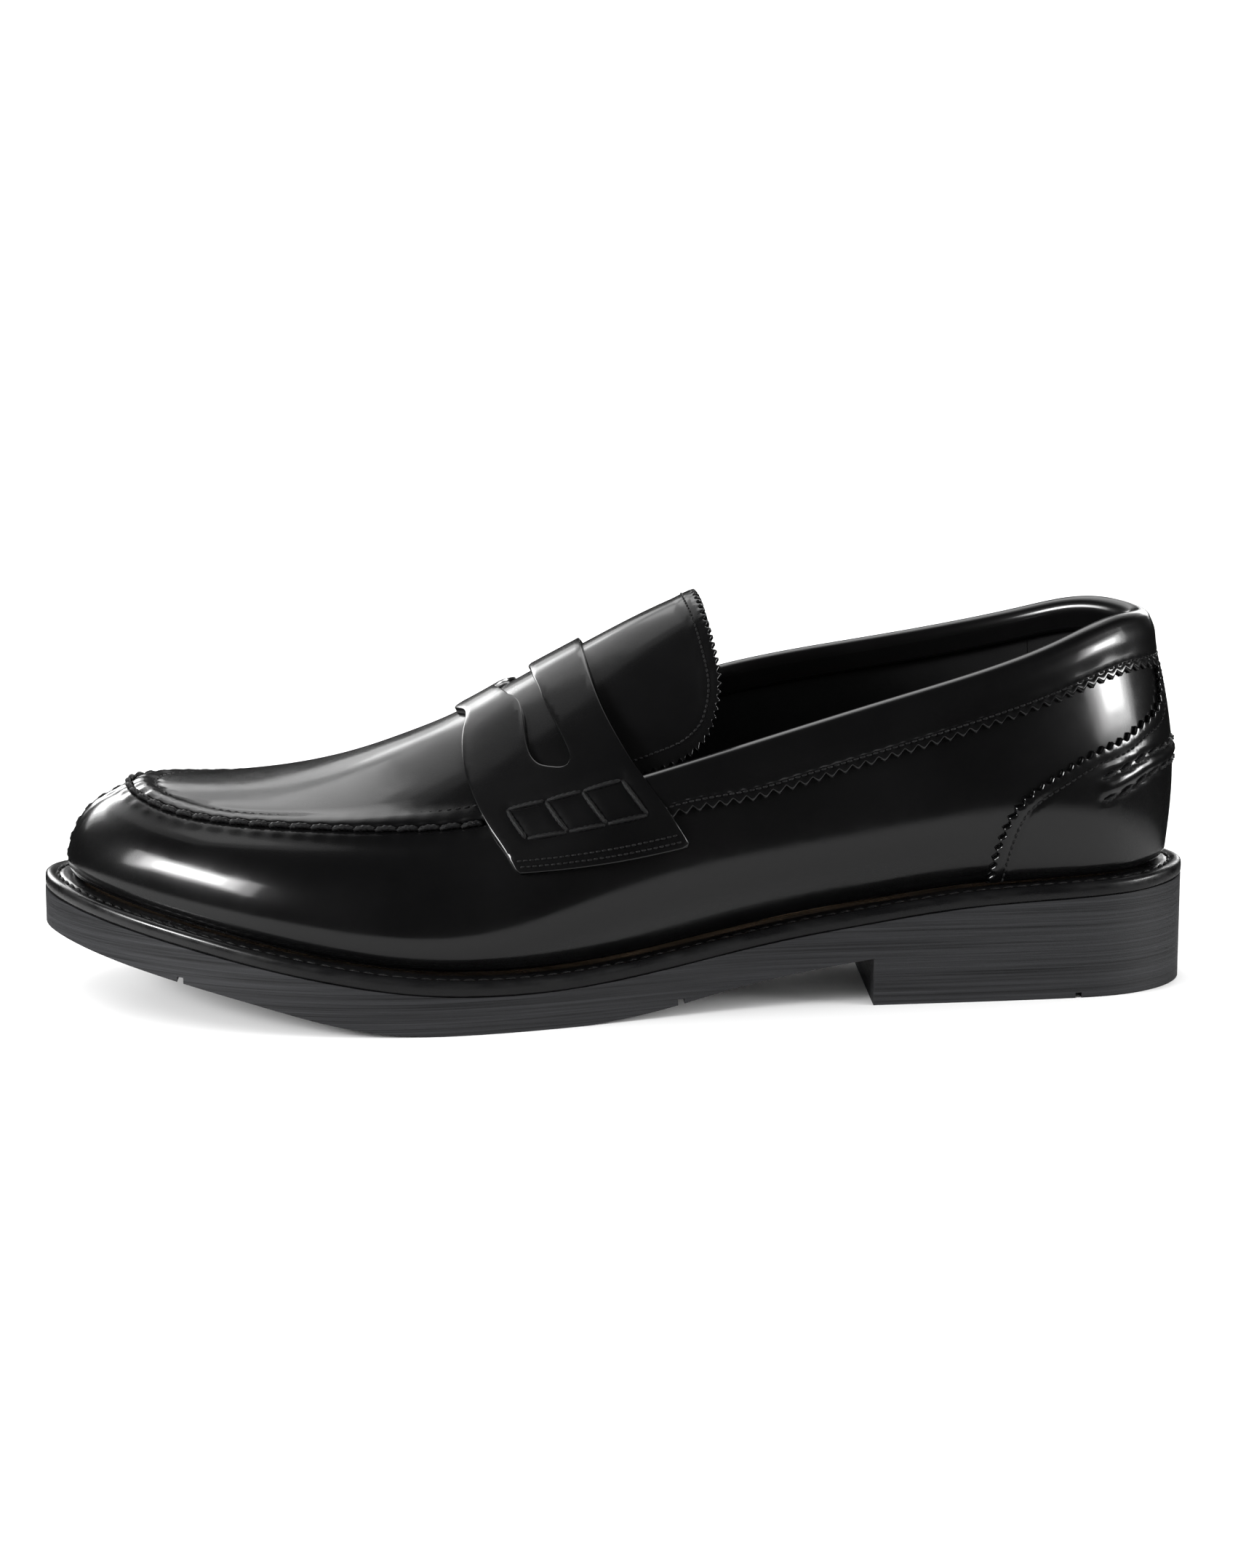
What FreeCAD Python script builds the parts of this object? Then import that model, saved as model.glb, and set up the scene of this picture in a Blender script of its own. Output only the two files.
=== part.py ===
"""Penny loafer, left shoe, as an assembly of its separate pieces. Millimetres.

Frame: +Z up, the ground at Z 0, the toe towards -Y, the outer (lateral) side towards +X.
The origin is on the ground at the middle of the heel's width, where the heel's round back starts.

The driving dimensions are in the spreadsheet "Dimensions". The last (the foot form that a shoe is
built on) is described by ribs: cross-sections that stand round the shoe, each from the sole's edge
up to the top line or the apron seam. Every leather piece is a sheet that lies at its own depth on
that form, so the pieces nest as they do in a real shoe.
"""
import FreeCAD, Part
import math
import os

import Sketcher

App = FreeCAD
V = App.Vector
doc = App.newDocument("PennyLoafer")

# ---------------------------------------------------------------------------------------------
# Driving dimensions
# ---------------------------------------------------------------------------------------------
DIMENSIONS = (
    ("sole_length", 300.0),
    ("ball_width", 109.5),
    ("upper_rise", 98.0),
    ("outsole_thickness", 9.5),
    ("welt_thickness", 4.0),
    ("welt_width", 11.0),
    ("feather_inset", 6.0),
    ("heel_breast", 50.0),
    ("heel_core_width", 13.0),
    ("heel_core_length", 11.0),
    ("heel_core_depth", 12.0),
    ("groove_width", 1.6),
    ("groove_depth", 1.4),
    ("filler_thickness", 3.0),
    ("insole_thickness", 2.6),
    ("sock_thickness", 1.2),
    ("heel_pad_thickness", 3.0),
    ("heel_pad_length", 62.0),
    ("heel_pad_width", 42.0),
    ("shank_length", 96.0),
    ("shank_width", 14.0),
    ("shank_thickness", 1.2),
    ("shank_rib_width", 4.0),
    ("leather", 1.4),
    ("overlay", 1.1),
    ("saddle_leather", 1.5),
    ("lining", 0.9),
    ("stiffener", 0.8),
    ("layer_gap", 0.12),
    ("rope_radius", 0.8),
    ("thread_radius", 0.35),
    ("seam_allowance", 1.8),
    ("tongue_clearance", 0.6),
    ("stock", 400.0),
)


def make_sheet():
    """The spreadsheet of driving dimensions, one alias a row."""
    made = doc.addObject("Spreadsheet::Sheet", "Dimensions")
    for row, (alias, value) in enumerate(DIMENSIONS, start=1):
        made.set(f"A{row}", alias)
        made.set(f"B{row}", str(value))
        made.setAlias(f"B{row}", alias)
    doc.recompute()
    return made


sheet = make_sheet()


def dim(alias):
    """One driving dimension, read from the spreadsheet."""
    return float(sheet.get(alias))


def bind(obj, prop, formula):
    """Ties one property of an object to cells of the spreadsheet."""
    words = formula.split()
    aliases = {alias for alias, _ in DIMENSIONS}
    obj.setExpression(prop, " ".join(f"Dimensions.{w}" if w in aliases else w for w in words))


# ---------------------------------------------------------------------------------------------
# The form of the shoe
# ---------------------------------------------------------------------------------------------
# The nominal size that the ribs and profiles below are written for. The sheet's sizes scale them.
NOMINAL_LENGTH, NOMINAL_BALL, NOMINAL_RISE = 300.0, 109.5, 98.0
LONG = dim("sole_length") / NOMINAL_LENGTH
WIDE = dim("ball_width") / NOMINAL_BALL
TALL = dim("upper_rise") / NOMINAL_RISE

# Each rib: the sole's edge (x, y), then the upper's outer surface at its widest, at its shoulder
# and at its top edge, each (x, y, z). From the back of the heel round the outer side to the toe,
# and home along the inner side. The top edge is the top line behind the saddle and the apron seam
# in front of it.
RIBS = (
    ((0.0, 35.0), (0.0, 30.6, 55.0), (0.0, 28.4, 76.0), (0.0, 23.6, 95.2)),
    ((20.0, 24.5), (18.6, 21.6, 54.0), (17.2, 19.2, 75.5), (14.4, 14.6, 95.1)),
    ((29.0, -2.0), (30.2, -3.0, 50.0), (30.2, -4.0, 70.0), (26.8, -5.0, 89.3)),
    ((33.2, -45.0), (36.8, -45.0, 41.0), (38.2, -45.0, 59.5), (36.2, -45.0, 77.7)),
    ((38.6, -85.0), (44.4, -85.0, 33.0), (46.4, -85.0, 50.5), (43.2, -85.0, 67.0)),
    ((49.8, -120.0), (52.8, -120.0, 26.0), (54.0, -120.0, 41.5), (46.4, -121.0, 57.2)),
    ((60.0, -157.0), (57.4, -156.0, 21.0), (55.0, -156.0, 35.5), (43.0, -155.0, 49.5)),
    ((58.8, -197.0), (55.2, -196.0, 26.0), (52.0, -195.0, 39.0), (39.6, -193.0, 48.7)),
    ((40.4, -237.0), (36.4, -235.0, 33.0), (33.4, -233.0, 43.5), (25.6, -227.6, 50.1)),
    ((21.4, -256.0), (20.0, -251.6, 35.0), (18.2, -247.4, 45.5), (13.2, -238.6, 52.3)),
    ((-1.0, -265.0), (0.0, -258.4, 36.0), (0.0, -253.4, 46.5), (0.0, -242.5, 53.2)),
    ((-20.4, -257.0), (-19.2, -252.2, 35.0), (-17.6, -247.8, 45.5), (-13.2, -238.9, 52.4)),
    ((-36.2, -239.0), (-33.2, -236.2, 33.0), (-30.8, -234.0, 43.5), (-24.6, -228.0, 50.5)),
    ((-47.6, -198.0), (-45.4, -196.0, 27.0), (-43.2, -195.0, 39.5), (-34.6, -193.0, 49.2)),
    ((-45.4, -157.0), (-44.8, -156.0, 24.0), (-43.8, -156.0, 38.0), (-37.0, -155.0, 52.6)),
    ((-37.0, -120.0), (-42.4, -120.0, 31.0), (-43.2, -120.0, 47.0), (-38.8, -121.0, 63.6)),
    ((-30.4, -85.0), (-38.4, -85.0, 38.5), (-39.4, -85.0, 57.5), (-36.6, -85.0, 75.2)),
    ((-31.4, -45.0), (-34.8, -45.0, 43.0), (-35.6, -45.0, 63.5), (-33.6, -45.0, 83.0)),
    ((-29.0, -2.0), (-30.2, -3.0, 50.5), (-30.2, -4.0, 71.0), (-26.8, -5.0, 91.8)),
    ((-20.0, 24.5), (-18.6, 21.6, 54.0), (-17.2, 19.2, 76.0), (-14.4, 14.6, 96.4)),
)
TOE_RIB = 10

# The side view of the sole, as (y, z): where the outsole's top and its underside run. The toe
# springs up, the ball rests on the ground, and the waist rises to the heel.
SOLE_TOP = ((35.0, 27.9), (0.0, 26.2), (-25.0, 24.8), (-50.0, 21.5), (-70.0, 18.4), (-90.0, 14.9),
            (-111.0, 11.5), (-130.0, 9.7), (-150.0, 9.5), (-170.0, 11.0), (-195.0, 14.9),
            (-225.0, 20.4), (-265.0, 26.6))
BALL_REAR, BALL_FRONT = -124.0, -160.0
TOE_BOTTOM = ((-160.0, 0.0), (-180.0, 1.7), (-207.0, 7.6), (-226.0, 11.3), (-266.0, 17.6))
WAIST_BOTTOM = ((-50.0, 12.3), (-69.0, 9.3), (-88.0, 5.8), (-105.0, 2.2), (-124.0, 0.0))

# The ridge of the apron and tongue in side view, as (y, z), from the apron's tip to the tongue's end.
RIDGE = ((-242.5, 53.2), (-234.0, 54.0), (-222.0, 54.7), (-208.0, 55.7), (-194.0, 57.9),
         (-182.0, 61.0), (-170.0, 65.2), (-157.0, 70.6), (-141.0, 79.4), (-124.0, 88.6),
         (-108.0, 97.0), (-94.0, 103.2), (-84.0, 107.0))
RIDGE_X = -3.0

# The saddle's front and rear edges and the tongue's free edge, as (share, y). The share is 0 on the
# ridge, 1 at the apron seam or top line, and above 1 down the side wall.
SADDLE_FRONT = ((0.0, -156.6), (0.13, -154.6), (0.26, -153.7), (0.42, -154.5), (0.59, -154.7),
                (0.74, -153.9), (0.9, -151.6), (1.02, -148.9), (1.15, -145.4), (1.34, -141.2))
SADDLE_REAR = ((0.0, -123.9), (0.2, -123.5), (0.44, -122.0), (0.66, -119.2), (0.82, -115.5),
               (0.92, -112.3), (1.0, -109.4), (1.11, -105.6), (1.22, -102.4), (1.34, -99.0))
TONGUE_EDGE = ((0.0, -95.0), (0.2, -94.2), (0.4, -92.5), (0.6, -90.6), (0.75, -89.7), (0.84, -90.7),
               (0.91, -92.8), (0.95, -96.0), (0.97, -99.4))
SADDLE_REACH = 1.338
# How fast the saddle runs down the wall past the seam, and how it is lifted clear over the seam.
DRAPE_RATE, SEAM_LIFT, SEAM_SOFTNESS = 1.05, 0.5, 0.12
# Half of the saddle's slot, as (share, y): its front edge from the middle out, then its rear edge
# home. The middle of the front edge is nicked towards the toe.
SLOT_FRONT = ((0.0, -146.0), (0.14, -144.4), (0.27, -142.5), (0.35, -140.5), (0.46, -139.3),
              (0.69, -138.3), (0.78, -136.6))
SLOT_REAR = ((0.845, -127.9), (0.75, -128.9), (0.56, -132.4), (0.36, -134.8), (0.12, -136.6),
             (0.0, -137.2))
SLOT_END = (0.855, -131.6)


def solve(matrix, right):
    """The solution of a small dense system of linear equations, by elimination with pivoting."""
    n = len(right)
    rows = [list(matrix[i]) + [right[i]] for i in range(n)]
    for i in range(n):
        best = max(range(i, n), key=lambda k: abs(rows[k][i]))
        rows[i], rows[best] = rows[best], rows[i]
        for k in range(i + 1, n):
            factor = rows[k][i] / rows[i][i]
            if factor:
                rows[k] = [a - factor * b for a, b in zip(rows[k], rows[i])]
    found = [0.0] * n
    for i in reversed(range(n)):
        rest = sum(rows[i][k] * found[k] for k in range(i + 1, n))
        found[i] = (rows[i][n] - rest) / rows[i][i]
    return found


class Spline:
    """A cubic spline through values at knots: closed if period is given, else natural."""

    def __init__(self, knots, values, period=None):
        self.knots, self.values, self.period = list(knots), list(values), period
        n = len(self.knots)
        if period:
            self.knots.append(self.knots[0] + period)
            self.values.append(self.values[0])
        size = n if period else len(self.knots)
        matrix = [[0.0] * size for _ in range(size)]
        right = [0.0] * size
        for i in range(size):
            if not period and i in (0, size - 1):
                matrix[i][i] = 1.0
                continue
            before = (i - 1) % n if period else i - 1
            after = (i + 1) % n if period else i + 1
            span_a = self.knots[before + 1] - self.knots[before]
            span_b = self.knots[i + 1] - self.knots[i]
            rise_a = (self.values[before + 1] - self.values[before]) / span_a
            rise_b = (self.values[i + 1] - self.values[i]) / span_b
            matrix[i][before] += span_a
            matrix[i][i] += 2.0 * (span_a + span_b)
            matrix[i][after] += span_b
            right[i] = 6.0 * (rise_b - rise_a)
        self.bends = solve(matrix, right)
        if period:
            self.bends.append(self.bends[0])

    def __call__(self, t):
        if self.period:
            t = self.knots[0] + (t - self.knots[0]) % self.period
        last = len(self.knots) - 2
        i = 0
        while i < last and t > self.knots[i + 1]:
            i += 1
        span = self.knots[i + 1] - self.knots[i]
        b = (t - self.knots[i]) / span
        a = 1.0 - b
        bend = (a ** 3 - a) * self.bends[i] + (b ** 3 - b) * self.bends[i + 1]
        return a * self.values[i] + b * self.values[i + 1] + bend * span * span / 6.0


def profile(points, stretch=(1.0, 1.0)):
    """A natural spline z(y) through (y, z) points, in any order."""
    ordered = sorted((y * stretch[0], z * stretch[1]) for y, z in points)
    return Spline([p[0] for p in ordered], [p[1] for p in ordered])


def across(points):
    """A spline y(share) through (share, y) points, the same on both sides of the ridge."""
    both = [(-share, y * LONG) for share, y in points[:0:-1]] + [(s, y * LONG) for s, y in points]
    return Spline([p[0] for p in both], [p[1] for p in both])


sole_top = profile(SOLE_TOP, (LONG, 1.0))
ridge_height = profile(RIDGE, (LONG, TALL))
saddle_front = across(SADDLE_FRONT)
saddle_rear = across(SADDLE_REAR)
tongue_edge = across(TONGUE_EDGE)


def distance(a, b):
    return math.sqrt(sum((p - q) ** 2 for p, q in zip(a, b)))


def rib_knots():
    """Where each rib stands along the loop, by the distance between their widest points."""
    widest = [(rib[1][0] * WIDE, rib[1][1] * LONG, rib[1][2]) for rib in RIBS]
    gaps = [distance(widest[i], widest[(i + 1) % len(widest)]) for i in range(len(widest))]
    return [sum(gaps[:i]) for i in range(len(gaps))], sum(gaps)


KNOTS, LOOP = rib_knots()
TOE = KNOTS[TOE_RIB]


def loop_curve(level, axis, scale):
    return Spline(KNOTS, [rib[level][axis] * scale for rib in RIBS], LOOP)


edge_x, edge_y = loop_curve(0, 0, WIDE), loop_curve(0, 1, LONG)
LEVELS = [(loop_curve(k, 0, WIDE), loop_curve(k, 1, LONG), loop_curve(k, 2, TALL)) for k in (1, 2, 3)]
SLOPE_STEP = 0.05


def inset_point(curve_x, curve_y, t, inset):
    """A point of a closed plan curve, moved inwards by inset."""
    dx = curve_x(t + SLOPE_STEP) - curve_x(t - SLOPE_STEP)
    dy = curve_y(t + SLOPE_STEP) - curve_y(t - SLOPE_STEP)
    size = math.hypot(dx, dy)
    return curve_x(t) + inset * dy / size, curve_y(t) - inset * dx / size


def outline_point(t, inset):
    """A point of the sole's outline in plan, moved inwards by inset."""
    return inset_point(edge_x, edge_y, t, inset)


def seam_point(t, inset):
    """A point of the apron seam in plan, moved inwards by inset."""
    return inset_point(LEVELS[2][0], LEVELS[2][1], t, inset)


def welt_top(y):
    return sole_top(y) + dim("welt_thickness")


def wall_rib(t):
    """The four points of the side wall's cross-section at t, from the welt up to the top edge."""
    x, y = outline_point(t, dim("feather_inset"))
    foot = (x, y, welt_top(y) + dim("layer_gap"))
    return [foot] + [tuple(curve(t) for curve in level) for level in LEVELS]


RIB_CACHE = {}


def wall(t, v):
    """The outer surface of the side wall: t runs round the shoe, v from 0 at the welt to 1."""
    key = round(t % LOOP, 6)
    if key not in RIB_CACHE:
        points = wall_rib(key)
        gaps = [distance(points[i], points[i + 1]) for i in range(3)]
        knots = [sum(gaps[:i]) / sum(gaps) for i in range(4)]
        RIB_CACHE[key] = [Spline(knots, [p[axis] for p in points]) for axis in range(3)]
    return V(*[curve(v) for curve in RIB_CACHE[key]])


def normal_of(surface, a, b, step_a, step_b):
    """The unit normal of a surface function at (a, b), by the right-hand rule from a to b."""
    along = surface(a + step_a, b).sub(surface(a - step_a, b))
    across = surface(a, b + step_b).sub(surface(a, b - step_b))
    return along.cross(across).normalize()


def wall_normal(t, v):
    """The side wall's outward normal."""
    return normal_of(wall, t, v, 0.4, 0.004).negative()


def wall_at(t, v, depth):
    """A point at a depth on the side wall: positive stands proud of the leather's face."""
    return wall(t, v).add(wall_normal(t, v).multiply(depth))


def top_edge(y, side):
    """The top edge of the side wall, the seam or the top line, at y on one side (1 outer, -1 inner)."""
    curve_x, curve_y, curve_z = LEVELS[2]
    low, high = (0.0, TOE) if side > 0 else (TOE, LOOP)
    for _ in range(40):
        middle = (low + high) / 2
        if (curve_y(middle) > y) == (side > 0):
            low = middle
        else:
            high = middle
    return curve_x(low), curve_z(low), low


def span(y, side):
    """How far the apron or tongue reaches from the ridge to the seam or top line, at y."""
    return abs(top_edge(y, side)[0] - RIDGE_X)


CROWN_STATIONS = (-84.0, -96.0, -110.0, -124.0, -141.0, -157.0, -175.0, -195.0, -212.0, -226.0)


def crown_bend(side):
    """How sharply the apron falls away from its ridge on one side, as a profile along the shoe."""
    stations = [LONG * y for y in CROWN_STATIONS]
    falls = [(ridge_height(y) - top_edge(y, side)[1]) / span(y, side) ** 2 for y in stations]
    return Spline(stations[::-1], falls[::-1])


CROWN_BENDS = {side: crown_bend(side) for side in (1, -1)}
CROWN_FRONT, CROWN_REAR = CROWN_STATIONS[-1] * LONG, CROWN_STATIONS[0] * LONG


def crown(x, y):
    """The outer surface of the apron, instep and tongue, as a height over (x, y)."""
    side = 1 if x >= RIDGE_X else -1
    bend = CROWN_BENDS[side](min(max(y, CROWN_FRONT), CROWN_REAR))
    return V(x, y, ridge_height(y) - bend * (x - RIDGE_X) ** 2)


def crown_at(x, y, depth):
    """A point at a depth on the crown."""
    return crown(x, y).add(normal_of(crown, x, y, 0.3, 0.3).multiply(depth))


def arch_at(share, y, depth, tuck=0.0):
    """A point of the crown by its share of the way to the seam, drawn in by tuck at the seam."""
    reach = span(y, 1 if share >= 0 else -1)

    def bow(a, b):
        flat = crown(RIDGE_X + a * reach, b)
        return V(RIDGE_X + a * (reach - tuck), b, flat.z)

    return bow(share, y).add(normal_of(bow, share, y, 0.006, 0.3).multiply(depth))


def drape(share, y, depth):
    """A point of the saddle: on the crown inside the seam, and down the side wall past it."""
    lift = SEAM_LIFT * math.exp(-((abs(share) - 1.0) / SEAM_SOFTNESS) ** 2)
    if abs(share) <= 1.0:
        return arch_at(share, y, depth + lift)
    t = top_edge(y, 1 if share >= 0 else -1)[2]
    return wall_at(t, 1.0 - (abs(share) - 1.0) * DRAPE_RATE, depth + lift)


# ---------------------------------------------------------------------------------------------
# Solids
# ---------------------------------------------------------------------------------------------
def surface_through(grid):
    surface = Part.BSplineSurface()
    surface.interpolate(grid)
    return surface


SAME_WAY = 1


def sheet_solid(point, inner, outer, across, along):
    """A closed sheet of leather: point(p, q, depth) for p and q in 0..1, from depth inner to outer."""
    def face(depth):
        grid = [[point(i / across, j / along, depth) for j in range(along + 1)]
                for i in range(across + 1)]
        return surface_through(grid)

    low, high = face(inner), face(outer)
    u0, u1, v0, v1 = low.bounds()
    a0, a1, b0, b1 = high.bounds()
    rims = (
        (low.uIso(u0), high.uIso(a0)),
        (low.uIso(u1), high.uIso(a1)),
        (low.vIso(v0), high.vIso(b0)),
        (low.vIso(v1), high.vIso(b1)),
    )
    faces = [low.toShape(), high.toShape()]
    faces += [Part.makeRuledSurface(a.toShape(), b.toShape(), SAME_WAY) for a, b in rims]
    shell = Part.Compound(faces)
    shell.sewShape(0.01)
    solid = Part.Solid(Part.Shell(shell.Faces))
    if solid.Volume < 0:
        solid.reverse()
    return solid


def thread(points, radius):
    """A thread: a round tube along a smooth curve through points."""
    curve = Part.BSplineCurve()
    curve.interpolate(points)
    spine = Part.Wire([curve.toShape()])
    start = curve.value(curve.FirstParameter)
    along = curve.tangent(curve.FirstParameter)[0]
    ring = Part.Wire([Part.makeCircle(radius, start, along)])
    return spine.makePipeShell([ring], True, False)


def stitch(start, middle, end, radius):
    """One thick stitch: a round cord bent in the arc through three points."""
    arc = Part.Arc(start, middle, end)
    circle = Part.Circle(start, middle, end)
    along = arc.tangent(arc.FirstParameter)[0]
    disc = Part.Face(Part.Wire([Part.makeCircle(radius, start, along)]))
    turn = math.degrees(arc.LastParameter - arc.FirstParameter)
    return disc.revolve(circle.Center, circle.Axis, turn)


def sub_part(label, shape):
    """Adds one finished piece to the document under its own name."""
    piece = doc.addObject("Part::Feature", label)
    piece.Shape = shape
    piece.Label = label
    piece.Placement = App.Placement()
    return piece


def steps(first, last, count):
    return [first + (last - first) * i / (count - 1) for i in range(count)]


def mix(a, b, share):
    return a + (b - a) * share


# ---------------------------------------------------------------------------------------------
# Depths of the layers on the form, as (inner, outer) from the outer leather's face
# ---------------------------------------------------------------------------------------------
GAP = dim("layer_gap")
LEATHER = (-dim("leather"), 0.0)
STIFFENER = (LEATHER[0] - GAP - dim("stiffener"), LEATHER[0] - GAP)
LINING = (STIFFENER[0] - GAP - dim("lining"), STIFFENER[0] - GAP)
OVERLAY = (GAP, GAP + dim("overlay"))
SADDLE = (GAP, GAP + dim("saddle_leather"))
STACK_MIDDLE = LINING[0] / 2
ROPE, THREAD = dim("rope_radius"), dim("thread_radius")


def on_top(layer, radius):
    """The depth of the middle of a thread that lies on a layer."""
    return layer[1] + GAP + radius


def rib_length(t):
    points = wall_rib(t)
    return sum(distance(points[i], points[i + 1]) for i in range(3))


def drop(t, below):
    """The height share of the wall at a distance below its top edge."""
    return 1.0 - below / rib_length(t)


def t_at(y, side):
    """Where along the loop the wall's top edge passes y on one side."""
    return top_edge(y, side)[2]


# ---------------------------------------------------------------------------------------------
# The bottom of the shoe: plan outlines pushed up, then cut to the sole's side view
# ---------------------------------------------------------------------------------------------
OUTLINE_COUNT = 44
SOLE_FRONT, SOLE_REAR = -275.0 * LONG, 45.0
# Levels clear above the tallest blank and clear below the ground, where the side-view cuts start.
ABOVE_ALL, BELOW_ALL = 120.0, -10.0


def new_body(label):
    body = doc.addObject("PartDesign::Body", label)
    body.Label = label
    return body


def new_sketch(body, name, role):
    """A sketch on one of the body's own origin planes."""
    sketch = body.newObject("Sketcher::SketchObject", name)
    plane = [f for f in body.Origin.OriginFeatures if f.Role == role][0]
    sketch.AttachmentSupport = [(plane, "")]
    sketch.MapMode = "FlatFace"
    return sketch


def add_spline(sketch, points, closed=False):
    curve = Part.BSplineCurve()
    curve.interpolate([V(a, b, 0) for a, b in points], PeriodicFlag=closed)
    sketch.addGeometry(curve)


def add_lines(sketch, points):
    for a, b in zip(points, points[1:]):
        sketch.addGeometry(Part.LineSegment(V(a[0], a[1], 0), V(b[0], b[1], 0)))


def outline(inset):
    """The sole's outline in plan, moved inwards by inset."""
    return [outline_point(LOOP * i / OUTLINE_COUNT, inset) for i in range(OUTLINE_COUNT)]


def side_region(sketch, curve, low, high, level):
    """A closed region of a side-view sketch between a curve z(y) and a level line."""
    stations = steps(low, high, 25)
    add_spline(sketch, [(y, curve(y)) for y in stations])
    add_lines(sketch, [(high, curve(high)), (high, level), (low, level), (low, curve(low))])


def cut_through(body, sketch, name):
    """Cuts a side-view sketch right through the body, across its whole width."""
    pocket = body.newObject("PartDesign::Pocket", name)
    pocket.Profile = sketch
    pocket.SideType = "Symmetric"
    bind(pocket, "Length", "stock")
    doc.recompute()
    return pocket


def push_up(body, plan, low, high):
    """Pushes a plan sketch up and trims the blank to the side-view curves low and high."""
    pad = body.newObject("PartDesign::Pad", body.Label + "_blank")
    pad.Profile = plan
    bind(pad, "Length", "stock / 4")
    doc.recompute()
    for name, curve, level in (("top", high, ABOVE_ALL), ("underside", low, BELOW_ALL)):
        if curve:
            region = new_sketch(body, f"{body.Label}_{name}_line", "YZ_Plane")
            side_region(region, curve, SOLE_FRONT, SOLE_REAR, level)
            cut_through(body, region, f"{body.Label}_{name}")
    return body


def slab(label, insets, low, high):
    """A layer of the bottom: its outline moved in by insets[0], open in the middle past insets[1]."""
    body = new_body(label)
    plan = new_sketch(body, label + "_plan", "XY_Plane")
    for inset in insets:
        add_spline(plan, outline(inset), closed=True)
    return push_up(body, plan, low, high)


def rectangle(sketch, x0, y0, x1, y1):
    add_lines(sketch, [(x0, y0), (x1, y0), (x1, y1), (x0, y1), (x0, y0)])


def cut_up(body, sketch, name):
    """Cuts a plan sketch upwards through the body."""
    pocket = body.newObject("PartDesign::Pocket", name)
    pocket.Profile = sketch
    pocket.Reversed = True
    bind(pocket, "Length", "stock")
    doc.recompute()
    return pocket


GROOVE_STATIONS = (-226.0, -100.0, 4.0)
CORE_ROWS, CORE_PITCH, CORE_REAR, CORE_WALL = 3, 17.0, 8.0, 3.0


def make_outsole():
    """The rubber unit: sole, waist and heel in one, with tread grooves and a cored heel."""
    body = slab("outsole", (0.0,), None, sole_top)
    toe_line = profile(TOE_BOTTOM, (LONG, 1.0))
    waist_line = profile(WAIST_BOTTOM, (LONG, 1.0))
    toe = new_sketch(body, "toe_spring", "YZ_Plane")
    side_region(toe, toe_line, SOLE_FRONT, BALL_FRONT * LONG, BELOW_ALL)
    cut_through(body, toe, "toe_spring_cut")
    waist = new_sketch(body, "waist_line", "YZ_Plane")
    side_region(waist, waist_line, BALL_REAR * LONG, -dim("heel_breast"), BELOW_ALL)
    cut_through(body, waist, "waist_cut")
    grooves = new_sketch(body, "tread_grooves", "YZ_Plane")
    half, deep = dim("groove_width") / 2, dim("groove_depth")
    for y, line in zip(GROOVE_STATIONS, (toe_line, waist_line, None)):
        z = line(y * LONG) if line else 0.0
        rectangle(grooves, y * LONG - half, z - deep, y * LONG + half, z + deep)
    cut_through(body, grooves, "tread_groove_cut")
    core = new_sketch(body, "heel_core", "XY_Plane")
    core.AttachmentOffset = App.Placement(V(0, 0, dim("heel_core_depth")), App.Rotation())
    bind(core, "AttachmentOffset.Base.z", "heel_core_depth")
    width, length = dim("heel_core_width"), dim("heel_core_length")
    for x in (-width - CORE_WALL / 2, CORE_WALL / 2):
        rectangle(core, x, CORE_REAR - length, x + width, CORE_REAR)
    first = cut_up(body, core, "heel_core_cut")
    body.Tip = first
    pattern = body.newObject("PartDesign::LinearPattern", "heel_core_row")
    pattern.Originals = [first]
    pattern.Direction = (core, ["V_Axis"])
    pattern.Reversed = True
    pattern.Length = CORE_PITCH * (CORE_ROWS - 1)
    pattern.Occurrences = CORE_ROWS
    body.Tip = pattern
    doc.recompute()
    return body


def above(level, extra):
    """A side-view curve that stands above another by a set amount."""
    return lambda y: level(y) + extra


SHANK_REAR = -4.0
SHANK_FRONT = SHANK_REAR - dim("shank_length")
SHANK_SLOT_GAP = 0.5
SHANK_RIB_RISE = 1.8


def make_filler():
    """The cork that fills the space inside the welt, with a slot for the shank."""
    body = slab("cork_filler", (dim("welt_width") + 2 * GAP,), above(sole_top, GAP),
                above(sole_top, GAP + dim("filler_thickness")))
    slot = new_sketch(body, "shank_slot", "XY_Plane")
    half = dim("shank_width") / 2 + SHANK_SLOT_GAP
    rectangle(slot, -half, SHANK_FRONT - SHANK_SLOT_GAP, half, SHANK_REAR + SHANK_SLOT_GAP)
    cut_up(body, slot, "shank_slot_cut")
    return body


def make_shank():
    """The steel spring under the waist: a bent strip with a stiffening rib along it."""
    body = new_body("shank")
    parts = (("strip", "shank_width", 1.0), ("rib", "shank_rib_width", SHANK_RIB_RISE))
    for name, width, rise in parts:
        side = new_sketch(body, f"shank_{name}_side", "YZ_Plane")
        stations = steps(SHANK_FRONT, SHANK_REAR, 15)
        low = [(y, sole_top(y) + GAP) for y in stations]
        high = [(y, z + dim("shank_thickness") * rise) for y, z in low]
        add_spline(side, low)
        add_spline(side, high)
        add_lines(side, [low[0], high[0]])
        add_lines(side, [low[-1], high[-1]])
        pad = body.newObject("PartDesign::Pad", f"shank_{name}")
        pad.Profile = side
        pad.SideType = "Symmetric"
        bind(pad, "Length", width)
        doc.recompute()
    return body


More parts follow.
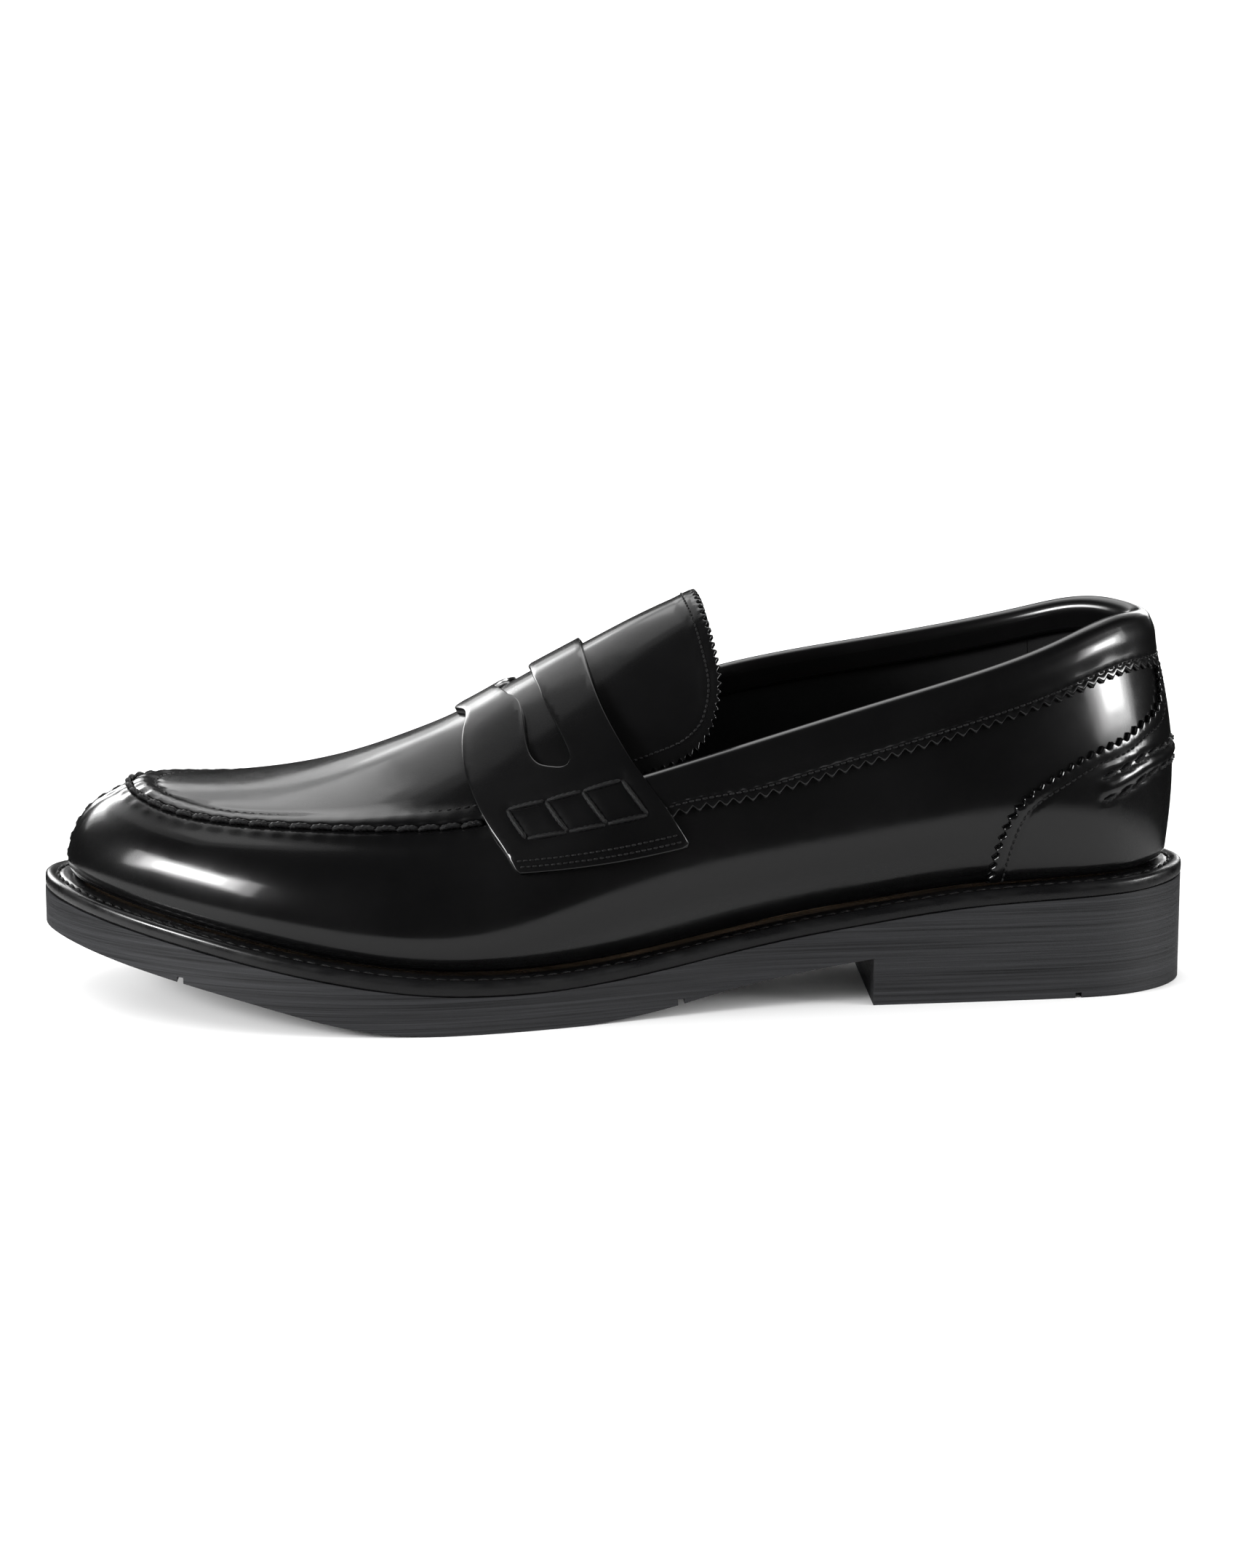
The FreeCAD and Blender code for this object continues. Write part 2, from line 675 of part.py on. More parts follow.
# The insole board keeps clear of the linings, which lean in over it; the sock liner a little more.
INSOLE_INSET = dim("feather_inset") - LINING[0] + 1.4
SOCK_INSET = INSOLE_INSET + 0.4
HEEL_PAD_BACK, HEEL_PAD_ROUND = 3.0, 25.0


def insole_level(extra):
    return above(sole_top, dim("welt_thickness") + extra)


def make_heel_pad(low):
    """The soft pad under the foot's heel: round at the back, straight across in front."""
    body = new_body("heel_pad")
    plan = new_sketch(body, "heel_pad_plan", "XY_Plane")
    half = dim("heel_pad_width") / 2
    front = half - HEEL_PAD_BACK - dim("heel_pad_length")
    middle = half - HEEL_PAD_ROUND
    plan.addGeometry(Part.Arc(V(half, middle, 0), V(0, middle + half, 0), V(-half, middle, 0)))
    add_lines(plan, [(-half, middle), (-half, front), (half, front), (half, middle)])
    return push_up(body, plan, low, above(low, dim("heel_pad_thickness")))


def make_bottom():
    """Every piece under the foot, from the ground up."""
    welt = slab("welt", (0.0, dim("welt_width")), above(sole_top, GAP), welt_top)
    board_low = insole_level(GAP)
    board_high = insole_level(GAP + dim("insole_thickness"))
    board = slab("insole_board", (INSOLE_INSET,), board_low, board_high)
    sock_low = above(board_high, GAP)
    sock_high = above(sock_low, dim("sock_thickness"))
    sock = slab("sock_liner", (SOCK_INSET,), sock_low, sock_high)
    heel_pad = make_heel_pad(above(sock_high, GAP))
    return [make_outsole(), welt, make_filler(), make_shank(), board, sock, heel_pad]


# The walls stop this far short of the middle of the toe and of the back, where their seams are.
SEAM_GAP = 0.4
WELT_THREAD_RADIUS = 0.45


def make_welt_stitching():
    """The stitch line on the welt's ledge, all the way round."""
    inset, radius = dim("feather_inset") / 2, WELT_THREAD_RADIUS
    ring = []
    for t in steps(SEAM_GAP, LOOP - SEAM_GAP, 100):
        x, y = outline_point(t, inset)
        ring.append(V(x, y, welt_top(y) + GAP + radius))
    return sub_part("welt_stitching", thread(ring, radius))


# ---------------------------------------------------------------------------------------------
# The upper
# ---------------------------------------------------------------------------------------------
def wall_sheet(label, ends, low, high, layer, columns, rows=9):
    """A sheet on the side wall: ends are its start and end along the loop, low and high its edges."""
    def point(p, q, depth):
        t = mix(ends[0], ends[1], p)
        return wall_at(t, mix(low(t), high(t), q), depth)
    return sub_part(label, sheet_solid(point, layer[0], layer[1], columns, rows))


def level(value):
    return lambda t: value


def below_top(amount):
    return lambda t: drop(t, amount)


def make_side_panels():
    """The outer and inner walls, joined at the middle of the toe and at the back."""
    lateral = wall_sheet("lateral_side_panel", (SEAM_GAP, TOE - SEAM_GAP), level(0.0), level(1.0),
                         LEATHER, 64)
    medial = wall_sheet("medial_side_panel", (TOE + SEAM_GAP, LOOP - SEAM_GAP), level(0.0),
                        level(1.0), LEATHER, 64)
    return [lateral, medial]


VAMP_JOIN, HEEL_GRIP_HALF = -118.0, 45.0
PUFF_HALF, PUFF_LOW, PUFF_HIGH = 74.0, 0.06, 0.84
COUNTER_HALF, COUNTER_LOW, COUNTER_HIGH = 72.0, 0.04, 0.72
LINING_LOW, VAMP_LINING_DROP = 0.03, 4.5


def make_inside():
    """Linings and stiffeners."""
    join = {side: t_at(VAMP_JOIN * LONG, side) for side in (1, -1)}
    grip = HEEL_GRIP_HALF
    low = level(LINING_LOW)
    return [
        wall_sheet("toe_puff", (TOE - PUFF_HALF, TOE + PUFF_HALF), level(PUFF_LOW), level(PUFF_HIGH),
                   STIFFENER, 36),
        wall_sheet("heel_counter", (-COUNTER_HALF, COUNTER_HALF), level(COUNTER_LOW),
                   level(COUNTER_HIGH), STIFFENER, 48, 11),
        wall_sheet("vamp_lining", (join[1] + SEAM_GAP, join[-1] - SEAM_GAP), low,
                   below_top(VAMP_LINING_DROP), LINING, 60),
        wall_sheet("lateral_quarter_lining", (grip + SEAM_GAP, join[1] - SEAM_GAP), low, level(1.0),
                   LINING, 46, 12),
        wall_sheet("medial_quarter_lining", (join[-1] + SEAM_GAP, LOOP - grip - SEAM_GAP), low,
                   level(1.0), LINING, 46, 12),
        wall_sheet("heel_grip", (-grip, grip), low, level(1.0), LINING, 34, 12),
    ]


APRON_REAR = -127.0 * LONG
APRON_LINING_INSET = 5.0
# The blank sheet over the forefoot, before it is trimmed: its half width and its ends.
CROWN_HALF, CROWN_ENDS = 48.0, (-252.0, -112.0)
PRISM_HEIGHT = 200.0


def apron_prism(inset):
    """An upright prism over the apron's outline in plan, moved inwards from the seam by inset."""
    first, last = t_at(APRON_REAR, 1), t_at(APRON_REAR, -1)
    rim = [V(*seam_point(t, inset), 0) for t in steps(first, last, 40)]
    curve = Part.BSplineCurve()
    curve.interpolate(rim)
    wire = Part.Wire([curve.toShape(), Part.makeLine(rim[-1], rim[0])])
    return Part.Face(wire).extrude(V(0, 0, PRISM_HEIGHT))


def crown_sheet(layer):
    """A sheet of the crown over the whole forefoot, to be trimmed to an outline."""
    def point(p, q, depth):
        return crown_at(mix(-CROWN_HALF, CROWN_HALF, p) * WIDE, mix(*CROWN_ENDS, q) * LONG, depth)
    return sheet_solid(point, layer[0], layer[1], 30, 36)


def trimmed(label, shape, cutter, kind):
    """A piece made in the document by cutting or keeping one shape with another."""
    base = sub_part(label + "_sheet", shape)
    tool = sub_part(label + "_cutter", cutter)
    piece = doc.addObject(kind, label)
    if kind == "Part::Cut":
        piece.Base, piece.Tool = base, tool
    else:
        piece.Shapes = [base, tool]
    piece.Label = label
    doc.recompute()
    return piece


def make_apron():
    """The apron and the lining under it."""
    allowance = dim("seam_allowance")
    apron = trimmed("apron", crown_sheet(LEATHER), apron_prism(allowance), "Part::MultiCommon")
    lining = trimmed("apron_lining", crown_sheet(LINING), apron_prism(allowance + APRON_LINING_INSET),
                     "Part::MultiCommon")
    return [apron, lining]


def half_slot(side):
    """One half of the saddle's slot in plan: front edge, round end, rear edge."""
    def place(share, y):
        return V(RIDGE_X + side * share * span(y * LONG, side), y * LONG, 0)
    front = [place(*p) for p in SLOT_FRONT]
    rear = [place(*p) for p in SLOT_REAR]
    end = Part.Arc(front[-1], place(*SLOT_END), rear[0]).toShape()
    lines = [Part.makeLine(a, b) for a, b in zip(front, front[1:])]
    lines += [end] + [Part.makeLine(a, b) for a, b in zip(rear, rear[1:])]
    lines.append(Part.makeLine(rear[-1], front[0]))
    return Part.Face(Part.Wire(lines)).extrude(V(0, 0, PRISM_HEIGHT))


def on_saddle(share, along, depth):
    """A point of the saddle: share across it, along from its front edge (0) to its rear edge (1)."""
    size = abs(share)
    return drape(share, mix(saddle_front(size), saddle_rear(size), along), depth)


def make_saddle():
    """The strap over the instep, with its slot."""
    def point(p, q, depth):
        return on_saddle(mix(-SADDLE_REACH, SADDLE_REACH, p), q, depth)

    strap = sheet_solid(point, SADDLE[0], SADDLE[1], 56, 12)
    slot = half_slot(1).fuse(half_slot(-1)).removeSplitter()
    return trimmed("saddle", strap, slot, "Part::Cut")


def group(label, shapes):
    return sub_part(label, Part.Compound(shapes))


LADDER_ROWS = (0.978, 1.147)
LADDER_RUNGS = (0.16, 0.402, 0.63, 0.876)
LADDER_END_GAP = 0.05
EDGE_ROWS = (1.268, 1.303)
EDGE_ROW_ENDS = (0.06, 0.94)
RUNG_END_GAP = 0.035
RUNG_LIFT = 0.25


def make_saddle_stitching():
    """The thick boxes of thread at the saddle's sides, and the fine rows along its ends."""
    depth = on_top(SADDLE, ROPE)
    thick, fine = [], []
    for side in (1, -1):
        for share in LADDER_ROWS:
            for low, high in zip(LADDER_RUNGS, LADDER_RUNGS[1:]):
                ends = steps(low + LADDER_END_GAP, high - LADDER_END_GAP, 3)
                thick.append(stitch(*[on_saddle(side * share, q, depth) for q in ends], ROPE))
        for q in LADDER_RUNGS:
            rung = steps(LADDER_ROWS[0] + RUNG_END_GAP, LADDER_ROWS[1] - RUNG_END_GAP, 3)
            lifted = [on_saddle(side * s, q, depth + RUNG_LIFT) for s in rung]
            thick.append(stitch(*lifted, ROPE))
        for share in EDGE_ROWS:
            row = [on_saddle(side * share, q, on_top(SADDLE, THREAD)) for q in steps(*EDGE_ROW_ENDS, 12)]
            fine.append(thread(row, THREAD))
    return [group("saddle_ladder_stitching", thick), group("saddle_edge_stitching", fine)]


SEAM_STITCH_STOP = -161.0
APRON_ROW_INSET = 6.0
TOE_SEAM_ENDS = (0.05, 0.86)


def make_apron_stitching():
    """The moccasin seam round the apron, the fine row inside it and the seam down the toe."""
    first, last = t_at(SEAM_STITCH_STOP * LONG, 1), t_at(SEAM_STITCH_STOP * LONG, -1)
    rope = [wall_at(t, 1.0, GAP * 2 + ROPE) for t in steps(first, last, 60)]
    fine = []
    for t in steps(first, last, 60):
        x, y = seam_point(t, APRON_ROW_INSET)
        fine.append(crown_at(x, y, on_top(LEATHER, THREAD)))
    toe = [wall_at(TOE, v, GAP * 2 + ROPE) for v in steps(*TOE_SEAM_ENDS, 12)]
    return [
        sub_part("apron_seam_stitching", thread(rope, ROPE)),
        sub_part("apron_inner_stitching", thread(fine, THREAD)),
        sub_part("toe_seam_stitching", thread(toe, ROPE)),
    ]


BAND_DROP = 10.2
BAND_INNER_DROP = 5.0
ROLL_STEPS = 6
BAND_CLEARANCE = 1.0
# The flat parts of the band's section start this far below the rolled edge.
ROLL_END = 1.2
COLLAR_FRONT = -104.0
COLLAR_ROW_RISE = 3.4
FOAM_LOW, FOAM_HIGH = 9.0, 0.6


def band_end(side, below):
    """Where the collar band stops just behind the saddle, at a distance below the top edge."""
    t = t_at(COLLAR_FRONT * LONG, side)
    share = 1.0 + below / rib_length(t) / DRAPE_RATE
    return t_at(saddle_rear(share) + BAND_CLEARANCE, side)


def band_point(t, turn, depth):
    """The collar band's section: up the outside, over the top edge, and down the inside."""
    top = wall(t, 1.0)
    out = wall_normal(t, 1.0)
    up = wall(t, 1.0).sub(wall(t, 0.97))
    up.normalize()
    centre = top.add(V(out).multiply(STACK_MIDDLE))
    radius = depth - STACK_MIDDLE
    if turn < 0:
        return wall_at(t, drop(t, -turn), depth)
    if turn > math.pi:
        return wall_at(t, drop(t, turn - math.pi), STACK_MIDDLE - radius)
    rim = V(out).multiply(radius * math.cos(turn)).add(V(up).multiply(radius * math.sin(turn)))
    return centre.add(rim)


def band_turns():
    """The stations of the band's section: distances below the edge, then angles, then distances."""
    outside = steps(-BAND_DROP, -ROLL_END, 7)
    over = steps(0.0, math.pi, 2 * ROLL_STEPS + 1)
    inside = [math.pi + d for d in steps(ROLL_END, BAND_INNER_DROP, 4)]
    return outside + over + inside


def make_collar():
    """The padded band at the top line, its stitch row and the foam tape inside it."""
    turns = band_turns()
    ends = {turn: (band_end(1, max(-turn, 0.0)), band_end(-1, max(-turn, 0.0)) - LOOP) for turn in turns}

    def point(p, q, depth):
        turn = turns[round(q * (len(turns) - 1))]
        return band_point(mix(*ends[turn], p), turn, depth)

    band = sub_part("collar_band", sheet_solid(point, OVERLAY[0], OVERLAY[1], 60, len(turns) - 1))
    foam_ends = (t_at(COLLAR_FRONT * LONG, 1), t_at(COLLAR_FRONT * LONG, -1) - LOOP)
    foam = wall_sheet("collar_padding", foam_ends, below_top(FOAM_LOW), below_top(FOAM_HIGH), STIFFENER,
                      50, 4)
    row = [wall_at(t, drop(t, BAND_DROP - COLLAR_ROW_RISE), on_top(OVERLAY, THREAD))
           for t in steps(ends[turns[2]][0] - 2.0, ends[turns[2]][1] + 2.0, 60)]
    return [band, sub_part("collar_stitching", thread(row, THREAD)), foam]


# The foxing's front and top edge in side view, as (y, z), and where its stitch row runs inside it.
FOXING_EDGE = ((-20.0, 24.0), (-19.4, 31.0), (-18.7, 37.0), (-17.2, 44.3), (-14.0, 51.2),
               (-8.6, 56.2), (-2.3, 59.9), (4.0, 63.3), (10.0, 65.7), (16.0, 67.6), (20.6, 70.2),
               (23.4, 74.0), (24.8, 80.0))
FOXING_ROW_INSET = 3.6
FOXING_HALF, FOXING_LOW, FOXING_TOP = 76.0, 0.015, 13.6
# The upright prism that cuts the foxing's edge stands wide and tall of the heel by these.
CUT_SIDE, CUT_RISE, CUT_REAR = 100.0, 30.0, 60.0
FOXING_ROW_RANGE = (0.09, 0.84)
# The heights of the two thick stitch rows round the heel, as (distance from the back seam, z).
PLEAT_ROWS = (((0.0, 64.0), (11.0, 63.4), (24.0, 61.6), (31.0, 59.2), (36.0, 58.0)),
              ((0.0, 59.0), (11.0, 58.6), (22.0, 56.8), (29.0, 54.1), (36.0, 52.0)))
PLEAT_HALF = 34.0


def height_share(t, z):
    """The height share at which the side wall passes a height above the ground."""
    low, high = 0.0, 1.0
    for _ in range(30):
        middle = (low + high) / 2
        if wall(t, middle).z < z:
            low = middle
        else:
            high = middle
    return low


def pleat_point(row, t):
    """A point of one thick stitch row, t round the heel from the back seam."""
    z = row(abs(t)) * TALL
    return wall_at(t, height_share(t, z), on_top(OVERLAY, ROPE))


def make_foxing():
    """The piece that wraps the heel, its stitch row, and the two thick rows that gather it."""
    def point(p, q, depth):
        t = mix(-FOXING_HALF, FOXING_HALF, p)
        return wall_at(t, mix(FOXING_LOW, drop(t, FOXING_TOP), q), depth)

    blank = sheet_solid(point, OVERLAY[0], OVERLAY[1], 40, 10)
    edge = [V(-CUT_SIDE, y * LONG, z * TALL) for y, z in FOXING_EDGE]
    curve = Part.BSplineCurve()
    curve.interpolate(edge)
    top = edge[-1] + V(0, 0, CUT_RISE)
    corners = [edge[-1], top, V(-CUT_SIDE, CUT_REAR, top.z), V(-CUT_SIDE, CUT_REAR, 0),
               V(-CUT_SIDE, edge[0].y, 0), edge[0]]
    wire = Part.Wire([curve.toShape()] + [Part.makeLine(a, b) for a, b in zip(corners, corners[1:])])
    prism = Part.Face(wire).extrude(V(2 * CUT_SIDE, 0, 0))
    foxing = trimmed("heel_foxing", blank, prism, "Part::MultiCommon")
    rows = []
    for side in (1, -1):
        rows.append(thread([foxing_row_point(i, side) for i in range(1, len(FOXING_EDGE) - 1)], THREAD))
    heights = [profile(row) for row in PLEAT_ROWS]
    pleats = [thread([pleat_point(row, t) for t in steps(-PLEAT_HALF, PLEAT_HALF, 21)], ROPE)
              for row in heights]
    return [foxing, group("foxing_stitching", rows), group("heel_pleat_stitching", pleats)]


# How far along the loop from the back seam the waist is.
WAIST_T = 120.0


def wall_t_near(y, v, side):
    """Where along the loop the wall passes y at a height share, behind the waist."""
    low, high = (0.0, WAIST_T) if side > 0 else (-WAIST_T, 0.0)
    for _ in range(30):
        middle = (low + high) / 2
        if (wall(middle, v).y > y) == (side > 0):
            low = middle
        else:
            high = middle
    return low


def foxing_row_point(i, side):
    """A point of the foxing's stitch row, inside its edge."""
    a, b = FOXING_EDGE[max(i - 1, 0)], FOXING_EDGE[min(i + 1, len(FOXING_EDGE) - 1)]
    size = math.hypot(b[0] - a[0], b[1] - a[1])
    y = (FOXING_EDGE[i][0] + FOXING_ROW_INSET * (b[1] - a[1]) / size) * LONG
    z = (FOXING_EDGE[i][1] - FOXING_ROW_INSET * (b[0] - a[0]) / size) * TALL
    v = 0.4
    for _ in range(12):
        t = wall_t_near(y, v, side)
        rise = (wall(t, v + 0.01).z - wall(t, v - 0.01).z) / 0.02
        v = min(max(v + (z - wall(t, v).z) / rise, FOXING_ROW_RANGE[0]), FOXING_ROW_RANGE[1])
    return wall_at(t, v, on_top(OVERLAY, THREAD))


TONGUE_REACH = 0.97
TONGUE_TUCK = 6.2
TONGUE_SIDE_CLEARANCE = 2.4
TONGUE_STITCH_INSET = 4.5
TONGUE_ROW_REACH = TONGUE_REACH - 0.1
TONGUE_HALF_WIDTH = 45.0


def tongue_sheet(label, layer, inset):
    """A layer of the tongue, from just behind the saddle to the free edge, moved in by inset."""
    def point(p, q, depth):
        share = mix(-1.0, 1.0, p) * (TONGUE_REACH - inset / TONGUE_HALF_WIDTH)
        size = abs(share)
        front = saddle_rear(size) + dim("tongue_clearance") + TONGUE_SIDE_CLEARANCE * size + inset / 2
        return arch_at(share, mix(front, tongue_edge(size) - inset, q), depth, TONGUE_TUCK)
    return sub_part(label, sheet_solid(point, layer[0], layer[1], 36, 10))


def make_tongue():
    """The tongue, its lining and the stitch row round its free edge."""
    lining = (LEATHER[0] - GAP - dim("lining"), LEATHER[0] - GAP)
    row = []
    for p in steps(-1.0, 1.0, 31):
        share = p * TONGUE_ROW_REACH
        y = tongue_edge(abs(share)) - TONGUE_STITCH_INSET
        row.append(arch_at(share, y, on_top(LEATHER, THREAD), TONGUE_TUCK))
    return [
        tongue_sheet("tongue", LEATHER, 0.0),
        tongue_sheet("tongue_lining", lining, 1.0),
        sub_part("tongue_stitching", thread(row, THREAD)),
    ]


# ---------------------------------------------------------------------------------------------
# The whole shoe
# ---------------------------------------------------------------------------------------------
def make_shoe():
    """Every piece, from the ground up."""
    pieces = make_bottom()
    pieces.append(make_welt_stitching())
    pieces += make_side_panels()
    pieces += make_inside()
    pieces += make_apron()
    pieces += make_apron_stitching()
    pieces.append(make_saddle())
    pieces += make_saddle_stitching()
    pieces += make_collar()
    pieces += make_foxing()
    pieces += make_tongue()
    return pieces


def check_and_write(pieces):
    """Stops on any broken object, then writes one STEP file a piece."""
    doc.recompute()
    for obj in doc.Objects:
        if "Invalid" in obj.State or "Error" in obj.State:
            raise RuntimeError(f"{obj.Label}: {obj.State}")
    os.makedirs("parts", exist_ok=True)
    for piece in pieces:
        shape = piece.Shape
        if shape.isNull() or not shape.isValid() or shape.Volume <= 0:
            raise RuntimeError(f"{piece.Label}: the shape is empty or not valid")
        shape.exportStep(f"parts/{piece.Label}.step")


check_and_write(make_shoe())
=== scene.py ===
import math

import bmesh
import bpy
import numpy as np
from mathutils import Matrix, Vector, geometry


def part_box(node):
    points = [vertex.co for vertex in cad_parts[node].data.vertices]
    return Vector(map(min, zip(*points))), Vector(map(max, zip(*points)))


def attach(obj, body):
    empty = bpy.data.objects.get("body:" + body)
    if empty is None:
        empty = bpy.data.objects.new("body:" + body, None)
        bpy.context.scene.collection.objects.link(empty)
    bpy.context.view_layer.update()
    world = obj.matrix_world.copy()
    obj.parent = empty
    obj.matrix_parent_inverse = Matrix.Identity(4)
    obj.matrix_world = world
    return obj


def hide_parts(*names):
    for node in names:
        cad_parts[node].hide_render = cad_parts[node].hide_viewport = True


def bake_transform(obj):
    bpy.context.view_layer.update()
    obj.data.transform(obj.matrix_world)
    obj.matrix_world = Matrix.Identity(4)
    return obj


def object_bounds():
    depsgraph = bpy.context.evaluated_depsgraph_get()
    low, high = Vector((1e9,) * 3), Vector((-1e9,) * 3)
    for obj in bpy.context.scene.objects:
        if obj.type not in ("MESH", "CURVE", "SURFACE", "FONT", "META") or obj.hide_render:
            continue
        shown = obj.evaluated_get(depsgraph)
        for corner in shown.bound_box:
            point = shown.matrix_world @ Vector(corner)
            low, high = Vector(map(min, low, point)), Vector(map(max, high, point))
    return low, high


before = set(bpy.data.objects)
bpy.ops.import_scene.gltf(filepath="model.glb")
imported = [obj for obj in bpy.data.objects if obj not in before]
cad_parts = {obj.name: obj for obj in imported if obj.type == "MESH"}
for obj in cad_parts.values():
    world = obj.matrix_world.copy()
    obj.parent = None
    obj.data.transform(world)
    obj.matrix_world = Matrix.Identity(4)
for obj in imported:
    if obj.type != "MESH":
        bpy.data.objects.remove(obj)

# The looks of a penny loafer, a left shoe. Lengths below are in millimetres on the shoe's own form
# and become metres when a mesh is made. The form is fitted to the frame's own box, so every piece
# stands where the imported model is.

CAD_BOX = [list(corner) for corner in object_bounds()]
MM = 0.001

# ---- The form of the shoe: the same ribs that the pieces of the frame lie on ----
# The sole's edge at each rib, in plan, from the back of the heel round the outer side and home.
SOLE_EDGE = np.array((
    (0.0, 35.0), (20.0, 24.5), (29.0, -2.0), (33.2, -45.0), (38.6, -85.0), (49.8, -120.0),
    (60.0, -157.0), (58.8, -197.0), (40.4, -237.0), (21.4, -256.0), (-1.0, -265.0), (-20.4, -257.0),
    (-36.2, -239.0), (-47.6, -198.0), (-45.4, -157.0), (-37.0, -120.0), (-30.4, -85.0),
    (-31.4, -45.0), (-29.0, -2.0), (-20.0, 24.5),
))
# The upper's surface at each rib, at its widest, at its shoulder and at its top edge.
RIBS = np.array((
    ((0.0, 30.6, 55.0), (0.0, 28.4, 76.0), (0.0, 23.6, 95.2)),
    ((18.6, 21.6, 54.0), (17.2, 19.2, 75.5), (14.4, 14.6, 95.1)),
    ((30.2, -3.0, 50.0), (30.2, -4.0, 70.0), (26.8, -5.0, 89.3)),
    ((36.8, -45.0, 41.0), (38.2, -45.0, 59.5), (36.2, -45.0, 77.7)),
    ((44.4, -85.0, 33.0), (46.4, -85.0, 50.5), (43.2, -85.0, 67.0)),
    ((52.8, -120.0, 26.0), (54.0, -120.0, 41.5), (46.4, -121.0, 57.2)),
    ((57.4, -156.0, 21.0), (55.0, -156.0, 35.5), (43.0, -155.0, 49.5)),
    ((55.2, -196.0, 26.0), (52.0, -195.0, 39.0), (39.6, -193.0, 48.7)),
    ((36.4, -235.0, 33.0), (33.4, -233.0, 43.5), (25.6, -227.6, 50.1)),
    ((20.0, -251.6, 35.0), (18.2, -247.4, 45.5), (13.2, -238.6, 52.3)),
    ((0.0, -258.4, 36.0), (0.0, -253.4, 46.5), (0.0, -242.5, 53.2)),
    ((-19.2, -252.2, 35.0), (-17.6, -247.8, 45.5), (-13.2, -238.9, 52.4)),
    ((-33.2, -236.2, 33.0), (-30.8, -234.0, 43.5), (-24.6, -228.0, 50.5)),
    ((-45.4, -196.0, 27.0), (-43.2, -195.0, 39.5), (-34.6, -193.0, 49.2)),
    ((-44.8, -156.0, 24.0), (-43.8, -156.0, 38.0), (-37.0, -155.0, 52.6)),
    ((-42.4, -120.0, 31.0), (-43.2, -120.0, 47.0), (-38.8, -121.0, 63.6)),
    ((-38.4, -85.0, 38.5), (-39.4, -85.0, 57.5), (-36.6, -85.0, 75.2)),
    ((-34.8, -45.0, 43.0), (-35.6, -45.0, 63.5), (-33.6, -45.0, 83.0)),
    ((-30.2, -3.0, 50.5), (-30.2, -4.0, 71.0), (-26.8, -5.0, 91.8)),
    ((-18.6, 21.6, 54.0), (-17.2, 19.2, 76.0), (-14.4, 14.6, 96.4)),
))
TOE_RIB = 10
# The height of the sole's top and of the ridge along the instep, as (y, z).
SOLE_TOP = ((35.0, 27.9), (0.0, 26.2), (-25.0, 24.8), (-50.0, 21.5), (-70.0, 18.4), (-90.0, 14.9),
            (-111.0, 11.5), (-130.0, 9.7), (-150.0, 9.5), (-170.0, 11.0), (-195.0, 14.9),
            (-225.0, 20.4), (-265.0, 26.6))
RIDGE = ((-242.5, 53.2), (-234.0, 54.0), (-222.0, 54.7), (-208.0, 55.7), (-194.0, 57.9),
         (-182.0, 61.0), (-170.0, 65.2), (-157.0, 70.6), (-141.0, 79.4), (-124.0, 88.6),
         (-108.0, 97.0), (-94.0, 103.2), (-84.0, 107.0))
# The ridge's place across the shoe.
RIDGE_X = -3.0
# The edges of the saddle and the tongue, as (share of the way from the ridge to the seam, y).
SADDLE_FRONT = ((0.0, -156.6), (0.13, -154.6), (0.26, -153.7), (0.42, -154.5), (0.59, -154.7),
                (0.74, -153.9), (0.9, -151.6), (1.02, -148.9), (1.15, -145.4), (1.34, -141.2))
SADDLE_REAR = ((0.0, -123.9), (0.2, -123.5), (0.44, -122.0), (0.66, -119.2), (0.82, -115.5),
               (0.92, -112.3), (1.0, -109.4), (1.11, -105.6), (1.22, -102.4), (1.34, -99.0))
TONGUE_EDGE = ((0.0, -95.0), (0.2, -94.2), (0.4, -92.5), (0.6, -90.6), (0.75, -89.7), (0.84, -90.7),
               (0.91, -92.8), (0.95, -96.0), (0.97, -99.4))

# The frame's box gives the size; the ribs are written for a sole this long and this wide.
NOMINAL_LENGTH, NOMINAL_BALL = 300.0, 109.2
SOLE_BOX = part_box("outsole")
LONG = (SOLE_BOX[1].y - SOLE_BOX[0].y) / MM / NOMINAL_LENGTH
WIDE = (SOLE_BOX[1].x - SOLE_BOX[0].x) / MM / NOMINAL_BALL
# The wall starts this far above the welt, and this far inside the sole's edge.
WELT_THICKNESS, FOOT_GAP, FEATHER_INSET = 4.0, 0.1, 6.0


def row_normal(vectors):
    """Each vector of an array, at length one."""
    return vectors / np.maximum(np.linalg.norm(vectors, axis=-1, keepdims=True), 1e-12)


def floats(*values):
    """Arrays of floats, all of one shape."""
    return np.broadcast_arrays(*[np.asarray(value, float) for value in values])


def distances(path):
    """How far along a path each of its points lies."""
    return np.concatenate([[0.0], np.cumsum(np.linalg.norm(np.diff(path, axis=0), axis=1))])


def sampled(values, stations, at):
    """Rows of values at stations, read at new stations."""
    return np.stack([np.interp(at, stations, column) for column in values.T], 1)


def hump(distance, width):
    """A smooth bump: 1 at distance 0, fading over the width."""
    return np.exp(-(distance / width) ** 2)


